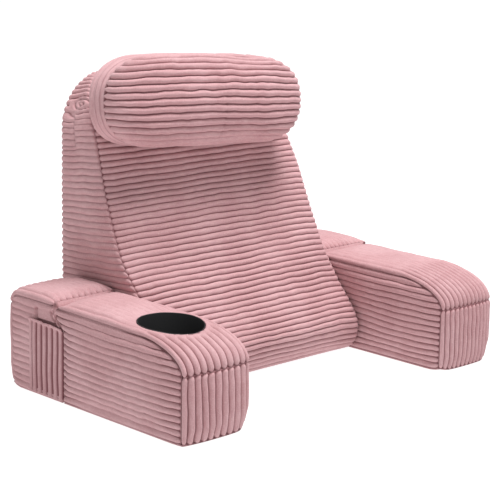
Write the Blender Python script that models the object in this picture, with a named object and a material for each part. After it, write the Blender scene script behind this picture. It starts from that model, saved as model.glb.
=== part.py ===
"""A reading pillow with arms: a filled backrest wedge between two padded arms, with a head bolster.

Metres, +Z up. The pillow stands on z = 0, its open seat faces -Y and its back is at +Y.
The arm with the cup well and the side pocket is at -X. Every cushion is one closed, filled
body: its cloth panels are grids of points whose corduroy ribs stand out along the panel's
normal, and each panel's border is sewn to a seam line that lies lower than the ribs.
"""
import math

import bmesh
import bpy
from mathutils import Matrix, Vector

# ---------------------------------------------------------------- driving dimensions
RIB = 0.010                 # pitch of the corduroy's ribs
RISE = 0.0022               # height of a rib above its groove
CLEAR = 0.0003              # gap between neighbouring pieces
INSET = 0.0035              # a panel's first points lie this far from its seam
TUCK = 0.0010               # a seam line is drawn in this much further than the corner

ARM_LENGTH = 0.4006         # front face to rear face
ARM_INNER = 0.2164          # centre plane to an arm's inner side
ARM_OUTER = 0.3424          # centre plane to an arm's outer side
ARM_CROWN = 0.0037          # swell of an arm's outer side
TOP_CROWN = 0.0050          # swell of an arm's top between its long edges
END_CROWN = 0.0020          # swell of the facing panels and of the wedge's back
ARM_TOP_FRONT = 0.148       # height of the arm where its top starts to roll over
ARM_TOP_REAR = 0.150        # height of the arm at the back
REAR_BLOCK = 0.125          # length of the block behind the sewn seam
ARM_ROUND = 0.0065          # rounding of an arm's long edges

ROLL_LENGTH = 0.108         # the top rolls over the front within this length
ROLL_HEIGHT = 0.048         # and falls this far, down to the front seam
REAR_ROLL = 0.016           # the same two at the squarer rear end

WEDGE_BEHIND = 0.032        # the backrest reaches this far behind the arms
WEDGE_HALF = ARM_INNER - CLEAR
WEDGE_TOP = 0.470
WEDGE_TAPER = 0.0130        # the front panel narrows this much on each side
TAPER_POWER = 2.2           # most of it near the top
WEDGE_ROUND = 0.008
CORNER_HEIGHT = 0.085       # the wedge's top corners round off over this height
CORNER_FRONT, CORNER_BACK = 0.060, 0.080        # and this width, on each face

WELL_SIDES = 32
WELL_RADIUS = 0.0495        # cup well: opening of 99 mm
WELL_FLOOR = 0.056
WELL_X = -0.2794
WELL_FROM_FRONT = 0.0970    # arm's front face to the well's axis
LINER_WALL = 0.0016

POCKET_FROM_REAR = 0.044    # rear face of the arm to the pocket's rear edge
POCKET_BOTTOM = 0.004
POCKET_TOP = 0.115
POCKET_SLANT = 0.002        # the mouth is this much lower at its front corner
POCKET_CLOTH = 0.0020
POCKET_RISE = 0.0012
POCKET_HEM_FROM = 0.89      # the hem starts at this share of the pocket's height
HOLLOW_DEPTH = 0.0058       # how far the block gives way behind the pocket
HOLLOW_TOP = 0.134

BOLSTER_HALF_LENGTH = 0.202
BOLSTER_HALF_HEIGHT = 0.0714
BOLSTER_HALF_DEPTH = 0.0503
BOLSTER_X = -0.0175
BOLSTER_UP_SLOPE = 0.0275   # from the panel's rest point to the bolster's middle
BOLSTER_TILT = math.radians(3.0)
BOLSTER_END_ROUND = 0.0445
BOLSTER_END_POWER = 1.125   # 1 is a cone, 2 a round end
CAP_DOME = 0.012            # an end cap stands this far out past its seam
CAP_SIDES = 32
SEAM_DEPTH = 0.006
BOLSTER_RIBS = 38           # round the tube
BOLSTER_CAP_SCALE = 0.50    # the section at the very end against the middle's

FRONT_Y = -0.5 * (ARM_LENGTH + WEDGE_BEHIND)
REAR_Y = FRONT_Y + ARM_LENGTH
BACK_Y = REAR_Y + WEDGE_BEHIND

# Side profile of the wedge's front panel: height, distance in front of the arms' rear face
WEDGE_PROFILE = (
    ("height", "forward"),
    (0.000, 0.1990),
    (0.008, 0.2130),
    (0.022, 0.2230),
    (0.045, 0.2270),
    (0.062, 0.2215),
    (0.083, 0.2070),
    (0.111, 0.1830),
    (0.142, 0.1600),
    (0.188, 0.1275),
    (0.240, 0.1025),
    (0.300, 0.0767),
    (0.345, 0.0567),
    (0.382, 0.0400),
    (0.420, 0.0230),
    (0.448, 0.0080),
    (0.464, -0.0060),
    (0.470, -0.0190),
)
REST_HEIGHT, REST_FORWARD = 0.382, 0.0400       # where the bolster's tilt is measured from
SLOPE_RUN, SLOPE_RISE = 0.41, 0.912             # direction of the panel up there

ROSE = (0.60, 0.33, 0.35, 1.0)
BLACK = (0.012, 0.012, 0.013, 1.0)


# ---------------------------------------------------------------- helpers
def clear_scene():
    for thing in list(bpy.data.objects):
        bpy.data.objects.remove(thing, do_unlink=True)


def plain_material(name, colour, roughness):
    material = bpy.data.materials.new(name)
    material.use_nodes = True
    shader = material.node_tree.nodes["Principled BSDF"]
    shader.inputs["Base Color"].default_value = colour
    shader.inputs["Roughness"].default_value = roughness
    shader.inputs["Metallic"].default_value = 0.0
    return material


def spread(count):
    """Evenly spaced fractions from 0 to 1, both ends included."""
    return [step / count for step in range(count + 1)]


def smooth_path(points, per_span):
    """A Catmull-Rom curve through 2-D points, as a list of 2-D points."""
    ends = [points[0]] + list(points) + [points[-1]]
    path = []
    for before, start, stop, after in zip(ends, ends[1:], ends[2:], ends[3:]):
        for step in range(per_span):
            t = step / per_span
            path.append(tuple(
                0.5 * (2 * b + (c - a) * t + (2 * a - 5 * b + 4 * c - d) * t ** 2
                       + (3 * b - a - 3 * c + d) * t ** 3)
                for a, b, c, d in zip(before, start, stop, after)))
    path.append(tuple(points[-1]))
    return path


class Path:
    """A 2-D polyline read by the distance along it, with its left-hand normal."""

    def __init__(self, points):
        self.points = [Vector(point) for point in points]
        self.marks = [0.0]
        for start, stop in zip(self.points, self.points[1:]):
            self.marks.append(self.marks[-1] + (stop - start).length)
        self.length = self.marks[-1]

    def at(self, distance):
        distance = min(max(distance, 0.0), self.length)
        span = 0
        while span < len(self.points) - 2 and self.marks[span + 1] < distance:
            span += 1
        start, stop = self.points[span], self.points[span + 1]
        part = (distance - self.marks[span]) / (self.marks[span + 1] - self.marks[span])
        return start.lerp(stop, part)

    def normal(self, distance, reach=0.004):
        ahead = self.at(distance + reach) - self.at(distance - reach)
        return Vector((-ahead.y, ahead.x)).normalized()


def drop(distance, radius):
    """How far a face has curved away at this distance from its sharp edge."""
    if distance >= radius:
        return 0.0
    return radius - math.sqrt(max(radius ** 2 - (radius - max(distance, 0.0)) ** 2, 0.0))


def edge_offset(radius):
    """Where the seam lies: half way round a rounded edge."""
    return radius * (1 - math.sqrt(0.5))


def swell(across, along):
    """The crown of a filled face: 0 at its border, 1 over most of the middle."""
    return (1 - (2 * across - 1) ** 6) * (1 - (2 * along - 1) ** 6)


def ribbed_grid(bm, surface, ribs, stations, rise=RISE):
    """A cloth panel. Its ribs run through the stations; rows go groove, ridge, groove.

    surface(across, along) gives a point on the ribs' crests and the outward normal.
    """
    grid = []
    for row, across in enumerate(spread(2 * ribs)):
        line = []
        for along in stations:
            point, normal = surface(across, along)
            line.append(bm.verts.new(point - normal * (0.0 if row % 2 else rise)))
        grid.append(line)
    for low, high in zip(grid, grid[1:]):
        for a, b, c, d in zip(low, low[1:], high[1:], high):
            bm.faces.new((a, b, c, d))
    return grid


def border(grid):
    """The grid's rim as one closed loop: first row, last column, last row, first column."""
    loop = list(grid[0][:-1])
    loop += [row[-1] for row in grid[:-1]]
    loop += list(reversed(grid[-1]))[:-1]
    loop += [row[0] for row in reversed(grid[1:])]
    return loop


def sew(bm, inner, outer):
    """Joins two closed loops that start side by side with a band of triangles."""
    inner, outer = inner + inner[:1], outer + outer[:1]
    i = j = 0
    while i < len(inner) - 1 or j < len(outer) - 1:
        step_inner = math.inf
        step_outer = math.inf
        if i < len(inner) - 1:
            step_inner = (inner[i + 1].co - outer[j].co).length
        if j < len(outer) - 1:
            step_outer = (inner[i].co - outer[j + 1].co).length
        if step_inner <= step_outer:
            bm.faces.new((inner[i], outer[j], inner[i + 1]))
            i += 1
        else:
            bm.faces.new((inner[i], outer[j], outer[j + 1]))
            j += 1


def chain(bm, start, stop, inner_points):
    """A seam line from one corner vertex to another."""
    return [start] + [bm.verts.new(point) for point in inner_points] + [stop]


def loop_of(*chains):
    """Chains laid end to end as one closed loop."""
    return [vertex for part in chains for vertex in part[:-1]]


def back(line):
    return list(reversed(line))


def flat_patch(bm, corners, seam):
    """A flat hidden face with four corners, sewn to the seam around it."""
    patch = [bm.verts.new(corner) for corner in corners]
    bm.faces.new(patch)
    sew(bm, patch, seam)


def finish_body(bm, name, material, smooth=True):
    bmesh.ops.recalc_face_normals(bm, faces=bm.faces[:])
    mesh = bpy.data.meshes.new(name)
    bm.to_mesh(mesh)
    bm.free()
    mesh.materials.append(material)
    if smooth:
        mesh.shade_smooth()
        mesh.set_sharp_from_angle(angle=math.radians(75))
    thing = bpy.data.objects.new(name, mesh)
    bpy.context.scene.collection.objects.link(thing)
    return thing


# ---------------------------------------------------------------- arm blocks
class ArmProfile:
    """Side view of a block: how its top rolls over the end that faces outwards."""

    def __init__(self, length, roll_length, roll_height, top_start, top_stop):
        self.length, self.top_stop = length, top_stop
        self.roll_length, self.roll_height = roll_length, roll_height
        self.seam_height = top_start - roll_height
        points = [(0.0, self.seam_height)]
        for part in spread(12)[1:]:
            angle = part * math.pi / 2
            points.append((roll_length * (1 - math.cos(angle)),
                           self.seam_height + roll_height * math.sin(angle)))
        points.append((length, top_stop))
        self.path = Path(points)

    def setback(self, height):
        """How far the outline has moved in from the end face at this height."""
        up = min(max((height - self.seam_height) / self.roll_height, 0.0), 1.0)
        return self.roll_length * (1 - math.sqrt(1 - up ** 2))

    def top(self, inward):
        """Height of the top at this distance in from the end face."""
        if inward >= self.roll_length:
            part = (inward - self.roll_length) / (self.length - self.roll_length)
            start = self.seam_height + self.roll_height
            return start + (self.top_stop - start) * part
        part = 1 - inward / self.roll_length
        return self.seam_height + self.roll_height * math.sqrt(1 - part ** 2)


def arm_block(name, side, facing_y, inward_sign, profile, material, hollow=None):
    """One block of an arm. side is -1 or +1 for its place along X.

    Distances along the block are counted inwards from its facing end, at facing_y.
    """
    bm = bmesh.new()
    radius = ARM_ROUND
    edge = edge_offset(radius)
    length = profile.length

    def place(x, inward, z):
        return Vector((side * x, facing_y + inward_sign * inward, z))

    def direction(x, inward, z):
        return Vector((side * x, inward_sign * inward, z))

    def side_surface(x_plane, outward, crown):
        lowest = edge + INSET
        highest = profile.top_stop - edge - INSET

        def surface(across, along):
            z = lowest + (highest - lowest) * across
            first = profile.setback(z) + edge + INSET
            last = length - edge - INSET
            inward = first + (last - first) * along
            height = profile.top(inward)
            z = min(z, height - edge - INSET)
            away = (drop(z, radius) + drop(height - z, radius)
                    + drop(inward - profile.setback(z), radius) + drop(length - inward, radius))
            out = crown * swell(across, along) - away
            if hollow and outward > 0:
                out -= hollow(inward, z)
            return place(x_plane + outward * out, inward, z), direction(outward, 0, 0)
        return surface

    def strip_surface(across, along):
        first, last = INSET, profile.path.length - edge - INSET
        distance = first + (last - first) * along
        x = ARM_INNER + edge + INSET + (ARM_OUTER - ARM_INNER - 2 * (edge + INSET)) * across
        spot, normal = profile.path.at(distance), profile.path.normal(distance)
        away = (drop(x - ARM_INNER, radius) + drop(ARM_OUTER - x, radius)
                + drop(profile.path.length - distance, radius))
        spot = spot + normal * (TOP_CROWN * swell(across, along) - away)
        return place(x, spot.x, spot.y), direction(0, normal.x, normal.y)

    def facing_surface(across, along):
        z = edge + INSET + (profile.seam_height - edge - 2 * INSET) * along
        x = ARM_INNER + edge + INSET + (ARM_OUTER - ARM_INNER - 2 * (edge + INSET)) * across
        away = drop(x - ARM_INNER, radius) + drop(ARM_OUTER - x, radius) + drop(z, radius)
        out = END_CROWN * swell(across, along) - away
        return place(x, -out, z), direction(0, -1, 0)

    # corners: i/o inner or outer side, then where along the block they lie
    low, tight = edge, edge + TUCK
    corner = {}
    for key, x in (("i", ARM_INNER + tight), ("o", ARM_OUTER - tight)):
        corner[key + "foot"] = bm.verts.new(place(x, tight, low))
        corner[key + "seam"] = bm.verts.new(place(x, tight * 0.6, profile.seam_height))
        corner[key + "top"] = bm.verts.new(place(x, length - tight, profile.top_stop - tight))
        corner[key + "base"] = bm.verts.new(place(x, length - tight, low))

    def straight(first, second, count):
        start, stop = corner[first], corner[second]
        return chain(bm, start, stop, [start.co.lerp(stop.co, part) for part in spread(count)[1:-1]])

    def long_seam(key):
        x = corner[key + "seam"].co.x
        points = []
        for part in spread(14)[1:-1]:
            distance = part * profile.path.length
            spot = profile.path.at(distance) - profile.path.normal(distance) * tight
            point = place(0, spot.x, spot.y)
            points.append(Vector((x, point.y, point.z)))
        return chain(bm, corner[key + "seam"], corner[key + "top"], points)

    long_inner, long_outer = long_seam("i"), long_seam("o")
    foot, seam = straight("ifoot", "ofoot", 6), straight("iseam", "oseam", 8)
    top, base = straight("itop", "otop", 8), straight("ibase", "obase", 6)
    rise_inner, rise_outer = straight("ifoot", "iseam", 5), straight("ofoot", "oseam", 5)
    end_inner, end_outer = straight("ibase", "itop", 8), straight("obase", "otop", 8)
    floor_inner, floor_outer = straight("ifoot", "ibase", 8), straight("ofoot", "obase", 8)

    across_ribs = round((ARM_OUTER - ARM_INNER) / RIB)
    side_ribs = round(profile.top_stop / RIB) - 1
    side_stations = (0.0, 0.035, 0.3, 0.65, 0.965, 1.0)
    if hollow:
        side_stations = (0.0, 0.25, 0.33, 0.42, 0.65, 0.88, 0.95, 1.0)
    strip_stations = [part ** 1.15 for part in spread(11)]

    grid = ribbed_grid(bm, side_surface(ARM_INNER, -1, 0.0), side_ribs, side_stations)
    sew(bm, border(grid), loop_of(floor_inner, end_inner, back(long_inner), back(rise_inner)))
    crown = 0.0 if hollow else ARM_CROWN
    grid = ribbed_grid(bm, side_surface(ARM_OUTER, 1, crown), side_ribs, side_stations)
    sew(bm, border(grid), loop_of(floor_outer, end_outer, back(long_outer), back(rise_outer)))
    grid = ribbed_grid(bm, strip_surface, across_ribs, strip_stations)
    sew(bm, border(grid), loop_of(long_inner, top, back(long_outer), back(seam)))
    grid = ribbed_grid(bm, facing_surface, across_ribs, (0.0, 0.06, 0.5, 1.0))
    sew(bm, border(grid), loop_of(rise_inner, seam, back(rise_outer), back(foot)))

    near, far = ARM_INNER + radius, ARM_OUTER - radius
    flat_patch(bm, [place(near, radius, 0), place(near, length - radius, 0),
                    place(far, length - radius, 0), place(far, radius, 0)],
               loop_of(floor_inner, base, back(floor_outer), back(foot)))
    end_top = profile.top_stop - radius
    flat_patch(bm, [place(near, length, radius), place(near, length, end_top),
                    place(far, length, end_top), place(far, length, radius)],
               loop_of(end_inner, top, back(end_outer), back(base)))
    return finish_body(bm, name, material)


def pocket_hollow(inward, height):
    """The soft block gives way behind the pocket, up to a little above its mouth."""
    start, stop = POCKET_FROM_REAR + 0.003, REAR_BLOCK - 0.008
    if not start < inward < stop or not POCKET_BOTTOM + 0.004 < height < HOLLOW_TOP:
        return 0.0
    return HOLLOW_DEPTH


def front_profile():
    length = ARM_LENGTH - REAR_BLOCK - CLEAR
    return ArmProfile(length, ROLL_LENGTH, ROLL_HEIGHT, ARM_TOP_FRONT, ARM_TOP_REAR)


def rear_profile():
    return ArmProfile(REAR_BLOCK, REAR_ROLL, REAR_ROLL, ARM_TOP_REAR, ARM_TOP_REAR)


def cut_well(arm):
    """Bores the round well down into the arm."""
    depth = 0.2
    cutter_mesh = bpy.data.meshes.new("well_cutter")
    bm = bmesh.new()
    bmesh.ops.create_cone(bm, cap_ends=True, segments=WELL_SIDES, radius1=WELL_RADIUS,
                          radius2=WELL_RADIUS, depth=depth)
    bm.to_mesh(cutter_mesh)
    bm.free()
    cutter = bpy.data.objects.new("well_cutter", cutter_mesh)
    cutter.location = (WELL_X, FRONT_Y + WELL_FROM_FRONT, WELL_FLOOR + depth / 2)
    cutter.hide_render = True
    cutter.display_type = "WIRE"
    bpy.context.scene.collection.objects.link(cutter)
    boolean = arm.modifiers.new("well", "BOOLEAN")
    boolean.operation = "DIFFERENCE"
    boolean.solver = "EXACT"
    boolean.object = cutter


def make_arms(cloth):
    front, rear = front_profile(), rear_profile()
    cup_front = arm_block("cup_arm_front", -1, FRONT_Y, 1, front, cloth)
    cut_well(cup_front)
    arm_block("plain_arm_front", 1, FRONT_Y, 1, front, cloth)
    arm_block("cup_arm_rear", -1, REAR_Y, -1, rear, cloth, hollow=pocket_hollow)
    arm_block("plain_arm_rear", 1, REAR_Y, -1, rear, cloth)


# ---------------------------------------------------------------- cup liner
def make_liner(material):
    """A thin round cup whose rim follows the top of the arm."""
    profile = front_profile()
    outer = WELL_RADIUS * math.cos(math.pi / WELL_SIDES) - CLEAR
    inner = outer - LINER_WALL
    floor = WELL_FLOOR + CLEAR
    bm = bmesh.new()

    def ring(radius, height=None):
        ring_verts = []
        for step in range(WELL_SIDES):
            angle = 2 * math.pi * step / WELL_SIDES
            x, y = radius * math.cos(angle), radius * math.sin(angle)
            z = height
            if height is None:
                z = profile.top(WELL_FROM_FRONT + y) - RISE
            ring_verts.append(bm.verts.new((WELL_X + x, FRONT_Y + WELL_FROM_FRONT + y, z)))
        return ring_verts

    rings = [ring(outer, floor), ring(outer), ring(inner), ring(inner, floor + LINER_WALL)]
    for lower, upper in zip(rings, rings[1:]):
        for k in range(WELL_SIDES):
            after = (k + 1) % WELL_SIDES
            bm.faces.new((lower[k], lower[after], upper[after], upper[k]))
    bm.faces.new(rings[0])
    bm.faces.new(rings[-1])
    finish_body(bm, "cup_liner", material)


# ---------------------------------------------------------------- side pocket
def make_pocket(cloth):
    """A patch of cloth with upright ribs and a thicker hem, open at the top."""
    ribs = round((REAR_BLOCK - POCKET_FROM_REAR) / RIB)
    rear_edge = REAR_Y - POCKET_FROM_REAR
    front_edge = REAR_Y - REAR_BLOCK + 0.001
    plane = ARM_OUTER + CLEAR
    heights = (0.0, 0.05, 0.35, 0.65, 0.88, 0.90, 0.95, 1.0)
    bm = bmesh.new()
    outer, inner = [], []
    for row, across in enumerate(spread(2 * ribs)):
        y = rear_edge + (front_edge - rear_edge) * across
        outer_line, inner_line = [], []
        for part in heights:
            z = POCKET_BOTTOM + (POCKET_TOP - POCKET_SLANT * across - POCKET_BOTTOM) * part
            hem = part > POCKET_HEM_FROM
            proud = POCKET_CLOTH + POCKET_RISE if hem or row % 2 else POCKET_CLOTH
            outer_line.append(bm.verts.new((-plane - proud, y, z)))
            inner_line.append(bm.verts.new((-plane, y, z)))
        outer.append(outer_line)
        inner.append(inner_line)
    for grid in (outer, inner):
        for low, high in zip(grid, grid[1:]):
            for a, b, c, d in zip(low, low[1:], high[1:], high):
                bm.faces.new((a, b, c, d))
    rim_outer, rim_inner = border(outer), border(inner)
    count = len(rim_outer)
    for k in range(count):
        after = (k + 1) % count
        bm.faces.new((rim_outer[k], rim_outer[after], rim_inner[after], rim_inner[k]))
    finish_body(bm, "side_pocket", cloth)


# ---------------------------------------------------------------- backrest wedge
def wedge_front_path():
    points = [(REAR_Y - forward, height) for height, forward in WEDGE_PROFILE[1:]]
    return Path(smooth_path(points, 6))


def front_depth(path):
    """The front panel's y at any height."""
    def depth(height):
        low, high = 0.0, path.length
        for _ in range(24):
            middle = (low + high) / 2
            if path.at(middle).y < height:
                low = middle
            else:
                high = middle
        return path.at(low).x
    return depth


def half_width(height, at_front):
    """Half of the wedge's width at a height: tapered sides, then a rounded corner."""
    corner_width = CORNER_FRONT if at_front else CORNER_BACK
    corner_start = WEDGE_TOP - CORNER_HEIGHT
    taper = WEDGE_TAPER if at_front else 0.0
    side = WEDGE_HALF - taper * min(height / corner_start, 1.0) ** TAPER_POWER
    if height <= corner_start:
        return side
    up = min((height - corner_start) / CORNER_HEIGHT, 1.0)
    return side - corner_width * (1 - math.sqrt(max(1 - up ** 2, 0.0)))


def outline(at_front):
    """The wedge's outline in X and Z, from one foot over the top to the other."""
    points = []
    corner_start = WEDGE_TOP - CORNER_HEIGHT
    for part in spread(20):
        points.append((-half_width(part * corner_start, at_front), part * corner_start))
    for part in spread(16)[1:]:
        height = corner_start + CORNER_HEIGHT * math.sin(part * math.pi / 2)
        points.append((-half_width(height, at_front), height))
    return Path(points + [(-x, z) for x, z in reversed(points)])


def make_wedge(cloth):
    bm = bmesh.new()
    path = wedge_front_path()
    depth = front_depth(path)
    radius = WEDGE_ROUND
    edge = edge_offset(radius)
    tight = edge + TUCK
    lines = {True: outline(True), False: outline(False)}

    def top_limit(height):
        return min(height, WEDGE_TOP - edge - INSET)

    def front_surface(across, along):
        first = edge + INSET
        last = path.length - edge - INSET
        distance = first + (last - first) * across
        spot, normal = path.at(distance), path.normal(distance)
        half = half_width(top_limit(spot.y), True) - edge - INSET
        x = -half + 2 * half * along
        side = half_width(spot.y, True) - abs(x)
        away = drop(side, radius) + drop(spot.y, radius)
        spot = spot - normal * away
        return Vector((x, spot.x, spot.y)), Vector((0, normal.x, normal.y))

    def back_surface(across, along):
        z = edge + INSET + (WEDGE_TOP - 2 * (edge + INSET)) * across
        half = half_width(z, False) - edge - INSET
        x = -half + 2 * half * along
        away = (drop(half_width(z, False) - abs(x), radius) + drop(z, radius)
                + drop(WEDGE_TOP - z, radius))
        out = END_CROWN * swell(across, along) - away
        return Vector((x, BACK_Y + out, z)), Vector((0, 1, 0))

    def rim_point(part, at_front):
        """A point on the wedge's sharp edge, and the outline's normal there."""
        line = lines[at_front]
        spot, normal = line.at(part * line.length), line.normal(part * line.length)
        y = depth(spot.y) if at_front else BACK_Y
        return Vector((spot.x, y, spot.y)), Vector((normal.x, 0, normal.y))

    def boxing_surface(across, along):
        foot = (edge + INSET) / lines[False].length
        part = foot + (1 - 2 * foot) * across
        (front, out_front), (rear, out_rear) = rim_point(part, True), rim_point(part, False)
        width = (rear - front).length
        margin = (edge + INSET) / width
        share = margin + (1 - 2 * margin) * along
        point = front.lerp(rear, share)
        normal = out_front.lerp(out_rear, share).normalized()
        away = (drop(share * width, radius) + drop((1 - share) * width, radius)
                + drop(point.z, radius))
        return point - normal * away, normal

    def rim_seam(at_front, count):
        points = []
        for part in spread(count):
            point, normal = rim_point(part, at_front)
            inwards = Vector((0, SLOPE_RISE, -SLOPE_RUN)) if at_front else Vector((0, -1, 0))
            points.append(point - normal * tight + inwards * tight)
        for point in (points[0], points[-1]):
            point.z = edge * 1.45
        return points

    def chain_through(points):
        return [bm.verts.new(point) for point in points]

    front_rim, back_rim = chain_through(rim_seam(True, 60)), chain_through(rim_seam(False, 60))

    def straight(start, stop, count):
        middle = [start.co.lerp(stop.co, part) for part in spread(count)[1:-1]]
        return chain(bm, start, stop, middle)

    front_foot = straight(front_rim[0], front_rim[-1], 8)
    back_foot = straight(back_rim[0], back_rim[-1], 8)
    left_foot = straight(front_rim[0], back_rim[0], 5)
    right_foot = straight(front_rim[-1], back_rim[-1], 5)

    def grid_onto_rim(surface, ribs, stations, foot, rim):
        grid = ribbed_grid(bm, surface, ribs, stations)
        sew(bm, border(grid), loop_of(foot, back(rim)))

    front_stations = (0.0, 0.02, 0.25, 0.5, 0.75, 0.98, 1.0)
    grid_onto_rim(front_surface, round(path.length / RIB), front_stations, front_foot, front_rim)
    grid_onto_rim(back_surface, round(WEDGE_TOP / RIB), front_stations, back_foot, back_rim)
    grid = ribbed_grid(bm, boxing_surface, round(lines[False].length / RIB), (0.0, 0.08, 0.92, 1.0))
    sew(bm, border(grid), loop_of(left_foot, back_rim, back(right_foot), back(front_rim)))

    near = depth(0.0) + radius
    half = WEDGE_HALF - radius
    flat_patch(bm, [(-half, near, 0), (half, near, 0), (half, BACK_Y - radius, 0),
                    (-half, BACK_Y - radius, 0)],
               loop_of(front_foot, right_foot, back(back_foot), back(left_foot)))
    finish_body(bm, "back_wedge", cloth)


# ---------------------------------------------------------------- head bolster
def oval(angle, power=2.4):
    """A point on a full oval of half-size 1 by 1, squarer than an ellipse."""
    c, s = math.cos(angle), math.sin(angle)
    return (math.copysign(abs(c) ** (2 / power), c), math.copysign(abs(s) ** (2 / power), s))


def bolster_scale(x):
    """The tube's section against its middle: it draws in towards the cap seams."""
    beyond = (abs(x) - (BOLSTER_HALF_LENGTH - BOLSTER_END_ROUND)) / BOLSTER_END_ROUND
    beyond = min(max(beyond, 0.0), 1.0)
    fall = (1 - beyond ** BOLSTER_END_POWER) ** (1 / BOLSTER_END_POWER)
    return BOLSTER_CAP_SCALE + (1 - BOLSTER_CAP_SCALE) * fall


def make_bolster(cloth):
    """Made lying along X, with its flatter side to +Y, then laid on the sloping panel."""
    bm = bmesh.new()
    tube_half = BOLSTER_HALF_LENGTH - CAP_DOME
    rows = 2 * BOLSTER_RIBS
    tube_stations = (-1.0, -0.94, -0.81, -0.4, 0.0, 0.4, 0.81, 0.94, 1.0)

    def ring(x, rise_on, count, scale, shrink=0.0):
        verts = []
        for step in range(count):
            height, thick = oval(2 * math.pi * step / count)
            low = RISE if rise_on and step % 2 == 0 else 0.0
            verts.append(bm.verts.new((x, (BOLSTER_HALF_DEPTH * scale - shrink - low) * thick,
                                       (BOLSTER_HALF_HEIGHT * scale - shrink - low) * height)))
        return verts

    tube = [ring(part * tube_half, True, rows, bolster_scale(part * tube_half))
            for part in tube_stations]
    for near, far in zip(tube, tube[1:]):
        for k in range(rows):
            after = (k + 1) % rows
            bm.faces.new((near[k], near[after], far[after], far[k]))
    cap_scale = bolster_scale(tube_half)
    for sign, end_ring in ((-1, tube[0]), (1, tube[-1])):
        seam = ring(sign * (tube_half + SEAM_DEPTH / 2), False, CAP_SIDES, cap_scale, SEAM_DEPTH)
        sew(bm, end_ring, seam)
        cap = [ring(sign * (BOLSTER_HALF_LENGTH - CAP_DOME * (size ** 4)), False, CAP_SIDES,
                    cap_scale * size)
               for size in (0.85, 0.60, 0.30)]
        for outer, inner in zip([seam] + cap, cap):
            for k in range(CAP_SIDES):
                after = (k + 1) % CAP_SIDES
                bm.faces.new((outer[k], outer[after], inner[after], inner[k]))
        bm.faces.new(cap[-1])
    bolster = finish_body(bm, "head_bolster", cloth)

    up_slope = Vector((0, SLOPE_RUN, SLOPE_RISE)).normalized()
    off_panel = Vector((0, -SLOPE_RISE, SLOPE_RUN)).normalized()
    rest = Vector((BOLSTER_X, REAR_Y - REST_FORWARD, REST_HEIGHT))
    centre = rest + up_slope * BOLSTER_UP_SLOPE + off_panel * (BOLSTER_HALF_DEPTH + CLEAR)
    upright = Matrix((Vector((1, 0, 0)), -off_panel, up_slope)).transposed()
    tilt = Matrix.Rotation(BOLSTER_TILT, 3, "Y")
    bolster.matrix_world = Matrix.Translation(centre) @ (upright @ tilt).to_4x4()


# ---------------------------------------------------------------- the whole pillow
def main():
    clear_scene()
    cloth = plain_material("rose_corduroy", ROSE, 0.9)
    lining = plain_material("black_liner", BLACK, 0.6)
    make_arms(cloth)
    make_liner(lining)
    make_pocket(cloth)
    make_wedge(cloth)
    make_bolster(cloth)


main()
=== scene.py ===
# %% [markdown]
# # Dressing a reading pillow with arms
#
# A reading pillow is a set of filled cushions sewn side by side: a tall wedge for the back, two
# arms that are each made of two blocks, and a bolster for the head. The solids in the frame say
# where each cushion is. This lesson gives every one of them its cloth, a thick ribbed velvet.

# %% Load the frame
import math

import bmesh
import bpy
import numpy as np
from mathutils import Matrix, Vector


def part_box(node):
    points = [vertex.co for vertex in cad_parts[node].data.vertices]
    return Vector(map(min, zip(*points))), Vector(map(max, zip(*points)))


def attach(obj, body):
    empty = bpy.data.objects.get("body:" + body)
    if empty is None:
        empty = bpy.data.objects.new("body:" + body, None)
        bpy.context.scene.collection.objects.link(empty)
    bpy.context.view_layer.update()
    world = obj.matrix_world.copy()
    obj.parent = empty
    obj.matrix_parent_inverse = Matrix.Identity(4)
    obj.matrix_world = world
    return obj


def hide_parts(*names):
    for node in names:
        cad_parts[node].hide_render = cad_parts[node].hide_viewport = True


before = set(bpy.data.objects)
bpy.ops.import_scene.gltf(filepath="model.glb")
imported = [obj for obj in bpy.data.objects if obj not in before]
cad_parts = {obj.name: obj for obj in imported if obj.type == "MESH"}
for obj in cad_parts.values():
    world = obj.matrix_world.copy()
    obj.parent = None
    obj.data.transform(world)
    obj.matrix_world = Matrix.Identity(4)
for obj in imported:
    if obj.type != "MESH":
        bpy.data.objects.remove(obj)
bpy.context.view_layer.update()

# %% [markdown]
# ## Sizes
#
# Whatever the frame can tell is read from it, so that the cloth sits where the solids are. A few
# sizes are the tailor's own: the pitch of the ribs, how deep the grooves are, and how far a rib
# stops short of a seam.

# %% Sizes from the frame, and the tailor's own
RIB = 0.010                     # one rib and its groove
WIDE_RIB = 0.0117               # the same on the bolster, and along the arm with the well
GROOVE = 0.0038                 # depth of a groove below the rib's crest
FINGER = 0.0060                 # a rib rounds off over this length where it meets a seam
MARGIN = 0.0009                 # a panel stops this far from its seam
SINK = 0.0022                   # the seam lies this much below the cloth's face
SEAM_LOW = 0.0016               # height of the seams round the floor panels
SEAM_STEP = 0.003               # spacing of the points along a seam
SPACING = 0.0048                # spacing of the points along a rib
ROUGH_STEP = 0.011              # spacing of the points while the filling is simulated

arm_low, arm_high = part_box("plain_arm_front")
wedge_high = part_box("back_wedge")[1]
rear_low, rear_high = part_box("plain_arm_rear")
pocket_low, pocket_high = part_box("side_pocket")

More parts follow.
